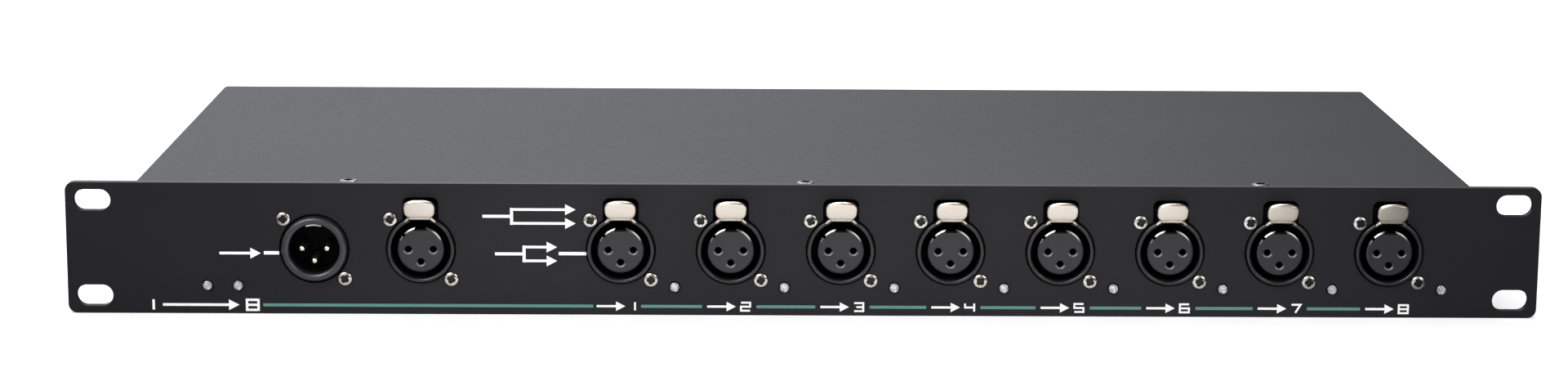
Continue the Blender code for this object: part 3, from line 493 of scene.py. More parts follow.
def add_piece(name, mesh, material=None, place=(0, 0, 0), body="case", stands_for=(), crease=38):
    # A mesh that has been shared out brings its own finishes
    if not mesh.materials:
        mesh.materials.append(material)
    mesh.shade_smooth()
    mesh.set_sharp_from_angle(angle=radians(crease))
    obj = bpy.data.objects.new(name, mesh)
    obj.location = place
    bpy.context.collection.objects.link(obj)
    add_modifier(obj, "even shading", "WEIGHTED_NORMAL", keep_sharp=True)
    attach(obj, body)
    if stands_for:
        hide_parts(*stands_for)
    return obj


# Materials: node groups that several finishes share

def add_node(tree, kind, inputs=None, **settings):
    node = tree.nodes.new(kind)
    for key, value in settings.items():
        setattr(node, key, value)
    for key, value in (inputs or {}).items():
        if isinstance(value, bpy.types.NodeSocket):
            tree.links.new(value, node.inputs[key])
        else:
            node.inputs[key].default_value = value
    return node


def piece_place(tree):
    return add_node(tree, "ShaderNodeTexCoord").outputs["Object"]


def reckoned(tree, operation, *values):
    # Result of one sum with numbers or other nodes' results
    return add_node(tree, "ShaderNodeMath", dict(enumerate(values)), operation=operation).outputs[0]


def scaled(tree, vector, scale):
    return add_node(tree, "ShaderNodeVectorMath", {0: vector, "Scale": scale},
                    operation="SCALE").outputs["Vector"]


def mixed(tree, factor, first, second, **settings):
    return add_node(tree, "ShaderNodeMix", {"Factor": factor, "A": first, "B": second},
                    **settings).outputs["Result"]


def remapped(tree, value, source=(0.0, 1.0), target=(0.0, 1.0), **settings):
    # Value carried over from one range to another
    inputs = {"Value": value, "From Min": source[0], "From Max": source[1],
              "To Min": target[0], "To Max": target[1]}
    return add_node(tree, "ShaderNodeMapRange", inputs, **settings).outputs["Result"]


def noise(tree, place, scale, detail, roughness=0.5):
    return add_node(tree, "ShaderNodeTexNoise", {"Vector": place, "Scale": scale, "Detail": detail,
                                                 "Roughness": roughness}).outputs["Fac"]


def cells(tree, place, scale, **settings):
    return add_node(tree, "ShaderNodeTexVoronoi", {"Vector": place, "Scale": scale},
                    **settings).outputs["Distance"]


def new_group(name, inputs, outputs):
    # Inputs are numbers, vectors or colours, as the lengths of their values show
    kinds = {1: "NodeSocketFloat", 3: "NodeSocketVector", 4: "NodeSocketColor"}
    tree = bpy.data.node_groups.new(name, "ShaderNodeTree")
    for label, value in inputs.items():
        socket = tree.interface.new_socket(name=label, in_out="INPUT", socket_type=kinds[len(value)])
        socket.default_value = value if len(value) > 1 else value[0]
    for label, size in outputs.items():
        tree.interface.new_socket(name=label, in_out="OUTPUT", socket_type=kinds[size])
    return tree, tree.nodes.new("NodeGroupInput").outputs, tree.nodes.new("NodeGroupOutput").inputs


def grain_group():
    # Fine grain of a paint, moulding or plating
    tree, given, result = new_group("fine_grain", {"Scale": (1000.0,), "Softness": (0.5,)},
                                    {"Height": 1, "Mask": 1})
    place = piece_place(tree)
    fine = noise(tree, place, given["Scale"], 3.0, given["Softness"])
    coarse = cells(tree, place, given["Scale"], feature="SMOOTH_F1")
    tree.links.new(mixed(tree, 0.35, fine, coarse), result["Height"])
    tree.links.new(remapped(tree, fine, (0.35, 0.65)), result["Mask"])
    return tree


def tone_group():
    # Broad, faint change of tone over a surface
    tree, given, result = new_group("tone_drift", {"Color": (0.5, 0.5, 0.5, 1), "Amount": (0.1,),
                                                   "Scale": (40.0,)}, {"Color": 4})
    centred = reckoned(tree, "SUBTRACT", noise(tree, piece_place(tree), given["Scale"], 4.0), 0.5)
    swing = reckoned(tree, "MULTIPLY", centred, given["Amount"])
    gain = reckoned(tree, "MULTIPLY_ADD", swing, 2.0, 1.0)
    tree.links.new(scaled(tree, given["Color"], gain), result["Color"])
    return tree


def speck_group():
    # Sparse pale specks of dust and fibre
    tree, given, result = new_group("dust_specks", {"Scale": (400.0,), "Cover": (0.05,)}, {"Mask": 1})
    place = piece_place(tree)
    limit = reckoned(tree, "MULTIPLY", given["Cover"], noise(tree, place, 60.0, 2.0))
    tree.links.new(reckoned(tree, "LESS_THAN", cells(tree, place, given["Scale"]), limit), result["Mask"])
    return tree


def brush_group():
    # Fine parallel rubbing marks on plated metal
    tree, given, result = new_group("brushed_marks", {"Scale": (300.0,), "Stretch": (1.0, 12.0, 12.0)},
                                    {"Height": 1, "Mask": 1})
    drawn = add_node(tree, "ShaderNodeVectorMath", {0: piece_place(tree), 1: given["Stretch"]},
                     operation="MULTIPLY").outputs["Vector"]
    lines = noise(tree, drawn, given["Scale"], 5.0, 0.7)
    tree.links.new(lines, result["Height"])
    tree.links.new(remapped(tree, lines, (0.4, 0.7)), result["Mask"])
    return tree


GRAIN = grain_group()
TONE = tone_group()
SPECKS = speck_group()
BRUSH = brush_group()


def shader_of(name):
    material = bpy.data.materials.new(name)
    material.use_nodes = True
    return material, material.node_tree, material.node_tree.nodes["Principled BSDF"]


def set_group(tree, group, **inputs):
    return add_node(tree, "ShaderNodeGroup", inputs, node_tree=group)


def toned(tree, color, drift, scale):
    return set_group(tree, TONE, Color=(*color, 1), Amount=drift, Scale=scale).outputs["Color"]


def varied_roughness(tree, shader, mask, roughness, spread):
    ranged = remapped(tree, mask, target=(roughness - spread, roughness + spread))
    tree.links.new(ranged, shader.inputs["Roughness"])


def raised(tree, shader, height, strength, distance):
    bump = add_node(tree, "ShaderNodeBump", {"Height": height, "Strength": strength, "Distance": distance})
    tree.links.new(bump.outputs["Normal"], shader.inputs["Normal"])


def coated(name, color, roughness, grain, bump, drift, drift_scale, dust=None, specular=0.5, spread=0.05,
           ior=1.5):
    # Painted, anodised, moulded or printed surface
    material, tree, shader = shader_of(name)
    shader.inputs["Specular IOR Level"].default_value = specular
    shader.inputs["IOR"].default_value = ior
    surface = toned(tree, color, drift, drift_scale)
    if dust:
        cover, tone = dust
        specks = set_group(tree, SPECKS, Scale=350.0, Cover=cover)
        surface = mixed(tree, specks.outputs["Mask"], surface, (tone, tone, tone, 1), data_type="RGBA")
    tree.links.new(surface, shader.inputs["Base Color"])
    fine = set_group(tree, GRAIN, Scale=grain)
    varied_roughness(tree, shader, fine.outputs["Mask"], roughness, spread)
    raised(tree, shader, fine.outputs["Height"], bump, distance=0.00005)
    return material


def plated(name, color, roughness, scale=300.0, stretch=(1.0, 12.0, 12.0)):
    # Bare or plated metal with faint rubbing marks
    material, tree, shader = shader_of(name)
    shader.inputs["Metallic"].default_value = 1.0
    tree.links.new(toned(tree, color, drift=0.08, scale=120.0), shader.inputs["Base Color"])
    marks = set_group(tree, BRUSH, Scale=scale, Stretch=stretch)
    varied_roughness(tree, shader, marks.outputs["Mask"], roughness, spread=0.06)
    raised(tree, shader, marks.outputs["Height"], strength=0.15, distance=0.00002)
    return material


def clear(name, color, roughness, transmission, ior=1.5):
    # Glass or clear moulding
    material, tree, shader = shader_of(name)
    shader.inputs["Transmission Weight"].default_value = transmission
    shader.inputs["IOR"].default_value = ior
    tree.links.new(toned(tree, color, drift=0.04, scale=300.0), shader.inputs["Base Color"])
    fine = set_group(tree, GRAIN, Scale=900.0)
    varied_roughness(tree, shader, fine.outputs["Mask"], roughness, spread=0.02)
    return material


# Coated: colour, roughness, scale and strength of the grain, amount and scale of the tone's drift,
# and the dust's cover and tone
PANEL_BLACK = coated("panel_black", (0.0105, 0.0098, 0.0128), 0.44, 1800.0, 0.25, 0.25, 18.0,
                     dust=(0.06, 0.06), specular=0.19)
# Painted highlight: a lighter, glossier copy of the panel black for the upward-facing top edge
TOP_EDGE_HIGHLIGHT = coated("top_edge_highlight", (0.0220, 0.0222, 0.0265), 0.42, 1800.0, 0.25, 0.25, 18.0, specular=0.64)
CASE_PAINT = coated("case_paint", (0.0175, 0.0177, 0.0215), 0.44, 1500.0, 0.5, 0.3, 14.0,
                    dust=(0.06, 0.12), specular=0.46, spread=0.06)
MOULDED_BLACK = coated("moulded_black", (0.0055, 0.0055, 0.0068), 0.26, 2500.0, 0.08, 0.1, 60.0, specular=0.6)
INSERT_BLACK = coated("insert_black", (0.0135, 0.0132, 0.0160), 0.42, 2600.0, 0.25, 0.15, 200.0, specular=0.42)
# Painted highlight: a lighter, glossier copy of the insert black for the chamfer's upper part
EDGE_GLOSS_HIGHLIGHT = coated("edge_gloss_highlight", (0.040, 0.040, 0.044), 0.2, 2600.0, 0.1, 0.1, 200.0, specular=1.0,
                    spread=0.03, ior=1.7)
# Painted highlight: a lighter copy of the insert black for the lower parts of the contact funnels
FUNNEL_HIGHLIGHT = coated("funnel_highlight", (0.045, 0.045, 0.050), 0.44, 2600.0, 0.1, 0.1, 200.0, specular=1.0,
                      ior=1.7)
RING_SATIN = coated("ring_satin", (0.0190, 0.0190, 0.0240), 0.34, 2500.0, 0.08, 0.1, 60.0, specular=0.6)
LIP_BLACK = coated("lip_black", (0.0080, 0.0080, 0.0098), 0.27, 2500.0, 0.08, 0.1, 60.0, specular=0.46)
# Painted shade: near-black for the sockets' cavities, holes, steps and blocks
SOCKET_PAINTED_SHADE = coated("socket_painted_shade", (0.0016, 0.0016, 0.0020), 0.6, 2500.0, 0.1, 0.1, 60.0, specular=0.08)
WHITE_INK = coated("white_ink", (0.80, 0.80, 0.80), 0.6, 4000.0, 0.2, 0.1, 300.0)
GREEN_INK = coated("green_ink", (0.078, 0.215, 0.180), 0.6, 4000.0, 0.2, 0.12, 200.0)
BOARD_GREEN = coated("board_green", (0.012, 0.085, 0.036), 0.4, 1200.0, 0.3, 0.2, 80.0)
POTTING = coated("potting_black", (0.022, 0.022, 0.025), 0.42, 700.0, 0.4, 0.2, 90.0)
SLEEVE_BLUE = coated("sleeve_blue", (0.02, 0.03, 0.08), 0.32, 900.0, 0.1, 0.1, 120.0)
# Plated: colour, roughness, scale and stretch of the rubbing marks
SATIN_NICKEL = plated("satin_nickel", (0.64, 0.575, 0.51), 0.34)
SPRING_NICKEL = plated("spring_nickel", (0.30, 0.29, 0.28), 0.42)
SCREW_NICKEL = plated("screw_nickel", (0.57, 0.54, 0.50), 0.26, 500.0, (1.0, 1.0, 1.0))
# Painted shade: near-black nickel for the screws' cross recesses
RECESS_PAINTED_SHADE = plated("recess_painted_shade", (0.035, 0.032, 0.029), 0.45, 500.0, (1.0, 1.0, 1.0))
PIN_GOLD = plated("pin_gold", (0.95, 0.87, 0.68), 0.22, 600.0, (1.0, 1.0, 1.0))
BLADE_NICKEL = plated("blade_nickel", (0.74, 0.71, 0.64), 0.28, 400.0)
MILL_ALUMINIUM = plated("mill_aluminium", (0.70, 0.71, 0.73), 0.38, 250.0, (12.0, 12.0, 1.0))
# Clear: colour, roughness and how much light passes
LAMP_LENS = clear("lamp_lens", (0.93, 0.94, 0.95), 0.06, 0.9)
FUSE_GLASS = clear("fuse_glass", (0.93, 0.95, 0.95), 0.04, 0.95)


# Front panel and what is printed on it

def panel_outlines():
    low, high = panel_low, panel_high
    border = rounded_rectangle(high.x - low.x, high.z - low.z, PANEL_CORNER, (0, AXIS_Z))
    outlines = [border]
    for sx in (-1, 1):
        for sz in (-1, 1):
            centre = (sx * (high.x - SLOT_INSET_X), AXIS_Z + sz * ((high.z - low.z) / 2 - SLOT_INSET_Z))
            outlines.append(rounded_slot(SLOT_LENGTH, SLOT_HEIGHT, centre))
    outlines.append(circle(RING_HOLE, (socket_place("input").x, AXIS_Z), LARGE_ROUND))
    outlines += [latch_opening((socket_place(name).x, AXIS_Z)) for name in FEMALES]
    for name in SOCKETS:
        x = socket_place(name).x
        outlines += [circle(SCREW_HOLE, (x + side * SCREW_OFFSET, AXIS_Z - side * SCREW_OFFSET), SMALL_ROUND)
                     for side in (-1, 1)]
    outlines += [circle(LED_RADIUS + GAP, (middle(lamp).x, middle(lamp).z), SMALL_ROUND) for lamp in LAMPS]
    return outlines


def stroke(points, width):
    # Closed outline of a line of even width through the points
    path = [Vector(p) for p in points]
    left, right = [], []
    for i, here in enumerate(path):
        before = (here - path[i - 1]).normalized() if i else (path[1] - here).normalized()
        after = (path[i + 1] - here).normalized() if i + 1 < len(path) else before
        side = Vector((-before.y - after.y, before.x + after.x)) * (width / 2 / (1 + before.dot(after)))
        left.append(here + side)
        right.append(here - side)
    return [tuple(p) for p in right + left[::-1]]


def digit_strokes(digit, bar):
    # Square numerals on a field one unit wide and one high; bar is half a stroke's width
    mid = 0.5
    shapes = {
        1: [[(0.5, 1), (0.5, 0)]],
        2: [[(0, 1), (1, 1), (1, mid), (0, mid), (0, 0), (1, 0)]],
        3: [[(0, 1), (1, 1), (1, 0), (0, 0)], [(0.25, mid), (1 - bar, mid)]],
        4: [[(0, 1), (0, mid), (1 - bar, mid)], [(1, 1), (1, 0)]],
        5: [[(1, 1), (0, 1), (0, mid), (1, mid), (1, 0), (0, 0)]],
        6: [[(1, 1), (0, 1), (0, 0), (1, 0), (1, mid), (bar, mid)]],
        7: [[(0, 1), (1, 1), (0.45, 0)]],
        8: [[(1 - bar, 1), (0, 1), (0, 0), (1 - bar, 0)], [(1, 1 + bar), (1, -bar)],
            [(bar, mid), (1 - bar, mid)]],
    }
    return shapes[digit]


def ink(outlines):
    return gathered([slab([outline], -INK, 0.0) for outline in outlines])


def numeral_outlines(digit, left, size=1.0):
    width, height, line = NUMERAL_WIDTH * size, NUMERAL_HEIGHT * size, NUMERAL_STROKE * size
    return [stroke([(left + u * width, PRINT_LEVEL + (v - 0.5) * height) for u, v in path], line)
            for path in digit_strokes(digit, line / 2 / width)]


def arrow_outlines(left, level, length, height=ARROW_HEIGHT):
    # Shaft and head of a plain arrow that points right
    bar = height * 0.24
    head = height * 0.95
    shaft = rectangle(length - head, bar, (left + (length - head) / 2, level))
    point = [(left + length - head, level - height / 2), (left + length, level),
             (left + length - head, level + height / 2)]
    return [shaft, point]


def split_outlines(left, level, length):
    # One line that branches into two arrows
    bar = left + SPLIT_STEM + SPLIT_BAR / 2
    outlines = [rectangle(SPLIT_STEM, SPLIT_BAR, (left + SPLIT_STEM / 2, level)),
                rectangle(SPLIT_BAR, 2 * SPLIT_SPACING + SPLIT_BAR, (bar, level))]
    for i in (-1, 1):
        outlines += arrow_outlines(bar + SPLIT_BAR / 2, level + i * SPLIT_SPACING, length)
    return outlines


def white_print_outlines():
    outlines = []
    for digit, x in enumerate(NUMERAL_PLACES, 1):
        outlines += numeral_outlines(digit, x - NUMERAL_WIDTH / 2)
        outlines += arrow_outlines(x - SMALL_ARROW_OFFSET, PRINT_LEVEL, *SMALL_ARROW)
    input_x = socket_place("input").x
    first_x = socket_place("output_1").x
    for digit, left in RANGE_NUMERALS:
        outlines += numeral_outlines(digit, left, RANGE_SIZE)
    outlines += arrow_outlines(*RANGE_ARROW)
    for x, (offset, level, length) in ((input_x, INPUT_LEADER), (first_x, OUTPUT_LEADER)):
        outlines.append(rectangle(length, LEADER_THICKNESS, (x - offset, level)))
    offset, level, length = INPUT_ARROW
    outlines += arrow_outlines(input_x - offset, level, length)
    for offset, level, length in SPLIT_ARROWS:
        outlines += split_outlines(first_x - offset, level, length)
    return outlines


def green_line_outlines():
    outlines = [rectangle(FIRST_LINE, LINE_THICKNESS, (FIRST_LINE_MIDDLE, PRINT_LEVEL))]
    for i, (here, onward) in enumerate(zip(NUMERAL_PLACES, NUMERAL_PLACES[1:])):
        left, right = here + (LINE_AFTER if i else LINE_AFTER_FIRST), onward - LINE_BEFORE
        outlines.append(rectangle(right - left, LINE_THICKNESS, ((left + right) / 2, PRINT_LEVEL)))
    return outlines


def build_panel():
    # The top edge facing up is a little glossier than the faces and carries a painted highlight in a lighter
    # colour
    def finish_of(face):
        on_top_edge = face.normal.z > 0.5 and face.center.z > panel_high.z - PANEL_CORNER
        return TOP_EDGE_HIGHLIGHT if on_top_edge else PANEL_BLACK

    plate = shared_out(slab(panel_outlines(), FRONT, BACK, PANEL_EDGE, PANEL_EDGE),
                       (PANEL_BLACK, TOP_EDGE_HIGHLIGHT), finish_of)
    add_piece("front_panel_plate", plate, stands_for=["front_panel"])
    add_piece("white_print", ink(white_print_outlines()), WHITE_INK, (0, FRONT, AXIS_Z))
    add_piece("green_print", ink(green_line_outlines()), GREEN_INK, (0, FRONT, AXIS_Z))


# Cover: top and two sides bent from one sheet, with a lip along the rear

def bent_section():
    # Cover's section seen from the front: outside from the right foot to the left, then back inside
    half = (cover_high.x - cover_low.x) / 2
    top = cover_high.z
    outer = BEND_RADIUS + SHEET
    outside = [(half, 0.0)] + arc((half - outer, top - outer), outer, 0, pi / 2, 10)
    outside += arc((outer - half, top - outer), outer, pi / 2, pi, 10) + [(-half, 0.0)]
    inside = [(SHEET - half, 0.0)] + arc((outer - half, top - outer), BEND_RADIUS, pi, pi / 2, 10)
    inside += arc((half - outer, top - outer), BEND_RADIUS, pi / 2, 0, 10) + [(half - SHEET, 0.0)]
    return outside + inside


def build_cover():
    low, high = cover_low, cover_high
    shell = slab([bent_section()], low.y, high.y, COVER_EDGE, COVER_EDGE, 2)
    lip_height = REAR_LIP - SHEET / 2
    lip_width = high.x - low.x - 2 * (SHEET + GAP + BEND_RADIUS)
    lip = slab([rectangle(lip_width, lip_height, (0, high.z - REAR_LIP + lip_height / 2))],
               high.y - GAP - SHEET, high.y - GAP)
    add_piece("cover", combined(shell, lip, "UNION"), CASE_PAINT, stands_for=["top_cover"])


# Receptacles

def block_outline(tower):
    # Block behind the panel; a female one has a tower above it for the lever's barrel
    outline = [(-BLOCK_HALF, -BLOCK_BELOW), (BLOCK_HALF, -BLOCK_BELOW), (BLOCK_HALF, BLOCK_TOP)]
    if tower:
        outline += [(TOWER_HALF, BLOCK_TOP), (TOWER_HALF, TOWER_TOP), (-TOWER_HALF, TOWER_TOP),
                    (-TOWER_HALF, BLOCK_TOP)]
    return outline + [(-BLOCK_HALF, BLOCK_TOP)]


def ring_profile(inner, outer, proud, finish):
    # Rounded lip in front of the panel, inside a step that lies behind the panel's face
    middle_radius = (inner + outer) / 2
    half = (outer - inner) / 2
    steps = 12
    crown = [(middle_radius + half * cos(a), half * (1 - sin(a)) - proud)
             for a in [i * finish / steps for i in range(steps + 1)]]
    return [(0, BLOCK_FRONT + SHEET), (RING_RADIUS, BLOCK_FRONT + SHEET), (RING_RADIUS, STEP_LEVEL),
            (outer, STEP_LEVEL)] + crown + [(crown[-1][0], RING_FLOOR), (0, RING_FLOOR)]


def on_lip(face, inner):
    # True for the rounded lip; the step around it, the cavity and the rear block get painted shade, a
    # near-black copy of the plastic
    return face.center.y < STEP_LEVEL - LIP_MARGIN and reach_of(face) > inner - LIP_MARGIN


def female_housing():
    block = slab([block_outline(True)], BLOCK_FRONT, BLOCK_BACK)
    ring = turned(ring_profile(SOCKET_RADIUS - RING_OVERLAP, LIP_RADIUS, RING_PROUD, LIP_TURN), LARGE_ROUND)
    bore = turned([(0, -2 * RING_PROUD), (SOCKET_RADIUS, -2 * RING_PROUD), (SOCKET_RADIUS, SOCKET_FLOOR),
                   (0, SOCKET_FLOOR)], LARGE_ROUND)
    mouth = slab([rectangle(*MOUTH)], -2 * RING_PROUD, BLOCK_FRONT - GAP)
    channel = slab([rectangle(*CHANNEL)], BLOCK_FRONT - SHEET, BARREL_Y + BARREL_ROOM)
    hollow = combined(combined(bore, mouth, "UNION"), channel, "UNION")
    body = combined(combined(block, ring, "UNION"), hollow, "DIFFERENCE")
    return shared_out(body, (LIP_BLACK, SOCKET_PAINTED_SHADE),
                      lambda face: LIP_BLACK if on_lip(face, SOCKET_RADIUS) else SOCKET_PAINTED_SHADE)


def insert_form():
    # Round insert with a keyway at the top, a small release slot at the upper left and three contact holes
    front = INSERT_RECESS - RING_PROUD
    half = asin(KEYWAY_WIDTH / 2 / INSERT_RADIUS)
    floor = INSERT_RADIUS - KEYWAY_DEPTH
    outline = arc((0, 0), INSERT_RADIUS, pi / 2 + half, 5 * pi / 2 - half, 56)
    outline += [(KEYWAY_WIDTH / 2, floor), (-KEYWAY_WIDTH / 2, floor)]
    body = slab([outline], front, SOCKET_FLOOR - GAP, INSERT_CHAMFER, lean=INSERT_LEAN)
    mouth = CONTACT_RADIUS + CONTACT_FUNNEL
    funnel = arc((mouth, CONTACT_FUNNEL + front), CONTACT_FUNNEL, -pi / 2, -pi, 6)
    profile = [(0, 2 * front), (mouth, 2 * front)] + funnel + [(CONTACT_RADIUS, CONTACT_END), (0, CONTACT_END)]
    cuts = [moved(turned(profile, 32), (x, 0, z)) for x, z in CONTACT_PLACES]
    side_place = (INSERT_RADIUS * cos(SIDE_KEY_ANGLE), 0, INSERT_RADIUS * sin(SIDE_KEY_ANGLE))
    side_slot = slab([rectangle(2 * SIDE_KEY_DEPTH, SIDE_KEY_WIDTH)], 2 * front, SIDE_KEY_END)
    cuts.append(moved(side_slot, side_place, -SIDE_KEY_ANGLE, "Y"))
    body = combined(body, gathered(cuts), "DIFFERENCE")
    marks = []
    for digit, x, z in MOULDED_NUMBERS:
        for path in digit_strokes(digit, MARK_BAR):
            points = [(x + (u - 0.5) * MARK_WIDTH, z + (v - 0.5) * MARK_HEIGHT) for u, v in path]
            marks.append(slab([stroke(points, MARK_STROKE)], front - MARK_PROUD, front + MARK_ROOT))

    def finish_of(face):
        # The chamfer's upper part and the funnels' lower parts get painted highlights, lighter copies of the
        # black; the holes get painted shade
        reach = reach_of(face)
        level = face.center.y - front
        if reach > INSERT_RADIUS - INSERT_CHAMFER and 0.4 < -face.normal.y < 0.95:
            return EDGE_GLOSS_HIGHLIGHT if face.center.z > INSERT_RADIUS * 0.4 else INSERT_BLACK
        if FACE_MARGIN < level < CONTACT_FUNNEL and reach < INSERT_RADIUS * 0.85:
            hole = min(CONTACT_PLACES, key=lambda p: hypot(face.center.x - p[0], face.center.z - p[1]))
            return FUNNEL_HIGHLIGHT if face.center.z < hole[1] - CONTACT_RADIUS / 4 else INSERT_BLACK
        return INSERT_BLACK if level < FACE_MARGIN else SOCKET_PAINTED_SHADE
    return shared_out(gathered([body] + marks), (INSERT_BLACK, EDGE_GLOSS_HIGHLIGHT, SOCKET_PAINTED_SHADE, FUNNEL_HIGHLIGHT),
                      finish_of)


def lever_section(half_width, half_thickness, crown, droop, centre, normal):
    # Flat bar's section with rounded sides; the crown swells its front and the tips droop
    round_end = half_thickness * 0.9
    flat = half_width - round_end
    steps = 10
    across = [-flat + 2 * flat * i / steps for i in range(steps + 1)]
    turns = (-pi / 3, -pi / 6, 0, pi / 6, pi / 3)
    outline = [(u, -half_thickness - crown * (1 - (u / half_width) ** 2)) for u in across]
    outline += [(flat + round_end * cos(a), half_thickness * sin(a)) for a in turns]
    outline += [(u, half_thickness) for u in reversed(across)]
    outline += [(-flat - round_end * cos(a), half_thickness * sin(a)) for a in reversed(turns)]
    points = []
    for u, v in outline:
        drop = droop * max(0.0, abs(u) - WING_ROOT) / (WING_TIP - WING_ROOT)
        points.append((u, centre[0] + v * normal[0], centre[1] + v * normal[1] - drop))
    return points


def lever_stations():
    # Half width, half thickness, crown and droop along the lever, from barrel to pad's top
    turn = pi / 2 - PAD_LEAN
    tangent = PAD_BEND * tan(turn / 2)
    half = TONGUE_THICKNESS / 2
    pad = PAD_THICKNESS / 2
    foot_z = TONGUE_Z - FOOT_DROP
    stations = []

    def along_tongue(y, width, thickness, droop=0.0):
        drop = FOOT_DROP * min(1.0, max(0.0, -y / FOOT_RUN))
        stations.append((width, thickness, 0.0, droop, (y, TONGUE_Z - drop), (0.0, 1.0)))

    def along_pad(s, width, thickness=pad, crown=0.0):
        centre = (FOOT_Y - sin(PAD_LEAN) * s, foot_z + cos(PAD_LEAN) * s)
        stations.append((width, thickness, crown, 0.0, centre, (cos(PAD_LEAN), sin(PAD_LEAN))))

    for degrees in (80, 60, 35, 0, -30, -50):
        a = radians(degrees)
        along_tongue(BARREL_Y + BARREL_RADIUS * sin(a), TONGUE_HALF, max(half, BARREL_RADIUS * cos(a)))
    for y, width, droop in WINGS:
        along_tongue(y / 1000, width / 1000, half, droop / 1000)
    centre = Vector((FOOT_Y + tangent, foot_z + PAD_BEND))
    for i in range(1, 6):
        a = turn * i / 6
        place = (centre.x - PAD_BEND * sin(a), centre.y - PAD_BEND * cos(a))
        stations.append((PAD_WAIST, half + (pad - half) * (i / 6), 0.0, 0.0, place, (sin(a), cos(a))))
    base = tangent + PAD_FOOT
    along_pad(tangent + PAD_START, PAD_WAIST)
    along_pad(base, PAD_WAIST)
    for degrees in (12, 26, 40, 54, 68, 80, 90):
        a = radians(degrees)
        along_pad(base + CORNER_LENGTH * (1 - cos(a)), PAD_WAIST + CORNER_WIDTH * sin(a), pad,
                  PAD_CROWN * sin(a))
    for below, width, share in PAD_TOP:
        along_pad(PAD_LENGTH - below / 1000, width / 1000, pad * share, PAD_CROWN * share)
    return stations


def lever_form():
    body = lofted([lever_section(*station) for station in lever_stations()])
    tooth = slab([TOOTH], -TOOTH_HALF, TOOTH_HALF, TOOTH_EDGE)
    tooth.transform(SIDEWAYS)
    return gathered([body, tooth])


def male_housing():
    # The bore's top is flat with a key ridge on it; the ground spring's bent front shows above them
    block = slab([block_outline(False)], BLOCK_FRONT, BLOCK_BACK)
    shell = turned(ring_profile(SHELL_BORE, SHELL_OUTER, SHELL_PROUD, SHELL_TURN), LARGE_ROUND)
    edge = asin(sqrt(1 - (KEY_FLAT / SHELL_BORE) ** 2))
    outline = arc((0, 0), SHELL_BORE, pi / 2 + edge, 5 * pi / 2 - edge, 80)
    outline += KEY_RIDGE + [(-x, z) for x, z in reversed(KEY_RIDGE)]
    bore = slab([outline], -2 * SHELL_PROUD, SHELL_FLOOR)
    pins = gathered([slab([circle(PIN_RADIUS + GAP, place, SMALL_ROUND)], SHELL_FLOOR - GAP,
                          SHELL_FLOOR + PIN_HOLE) for place in CONTACT_PLACES])
    cavity = combined(bore, pins, "UNION")
    body = combined(combined(block, shell, "UNION"), cavity, "DIFFERENCE")
    half_turn = SPRING_WIDTH / 2 / SHELL_BORE
    spring = lofted([[(r * cos(a), y, r * sin(a)) for r, y in SPRING_SECTION]
                     for a in [pi / 2 + half_turn * (1 - i / 6) for i in range(13)]])
    finishes = (RING_SATIN, SOCKET_PAINTED_SHADE, SPRING_NICKEL)
    shared_out(body, finishes, lambda face: RING_SATIN if on_lip(face, SHELL_BORE) else SOCKET_PAINTED_SHADE)
    shared_out(spring, finishes, lambda face: SPRING_NICKEL)
    return shared_out(gathered([body, spring]), finishes, lambda face: finishes[face.material_index])


def pin_form():
    nose = [(PIN_RADIUS * sin(a), PIN_TIP + PIN_NOSE * (1 - cos(a))) for a in quarter(6)]
    return turned(nose + [(PIN_RADIUS, PIN_BACK), (0, PIN_BACK)], 40)


def screw_form(radius, height, length, arm):
    # Pan head with a cross recess; the recess gets painted shade, a near-black copy of the nickel
    rise = height * 0.55
    dome = [(radius * sin(a), -height + rise * (1 - cos(a))) for a in quarter(8)]
    head = turned(dome + [(radius, -SCREW_RIM), (radius - SCREW_RIM, 0), (SCREW_SHANK, 0),
                          (SCREW_SHANK, length), (0, length)], 40)
    half = arm * 0.4
    core = half * 1.45
    cross = []
    for i in range(4):
        turn = Matrix.Rotation(i * pi / 2, 2)
        for point in ((arm, -half), (arm * 1.06, 0), (arm, half), (core, core)):
            cross.append(tuple(turn @ Vector(point)))
    tool = slab([cross], -2 * height, -height * 0.2)

    def finish_of(face):
        distance = reach_of(face)
        surface = -height + rise * (1 - cos(asin(min(1.0, distance / radius))))
        recessed = distance < arm * 1.1 and surface + RECESS_MARGIN < face.center.y < 0
        return RECESS_PAINTED_SHADE if recessed else SCREW_NICKEL
    return shared_out(combined(head, tool, "DIFFERENCE"), (SCREW_NICKEL, RECESS_PAINTED_SHADE), finish_of)


def build_receptacles():
    housing, insert, lever = female_housing(), insert_form(), lever_form()
    for name in FEMALES:
        place = socket_place(name)
        add_piece(f"{name}_socket", housing, place=place, stands_for=[f"{name}_housing"])
        add_piece(f"{name}_contact_insert", insert, place=place, stands_for=[f"{name}_insert"],
                  crease=25)
        add_piece(f"{name}_latch_lever", lever, SATIN_NICKEL, place, f"{name}_latch",
                  stands_for=[f"{name}_latch"], crease=50)
    add_piece("input_shell", male_housing(), place=socket_place("input"), stands_for=["input_housing"])
    pin = pin_form()
    for i in (1, 2, 3):
        node = f"input_pin_{i}"
        add_piece(f"input_contact_{i}", pin, PIN_GOLD, (middle(node).x, FRONT, middle(node).z),
                  stands_for=[node])


def add_screw(name, head, place, turn):
    screw = add_piece(name, head, place=place)
    screw.rotation_euler = turn


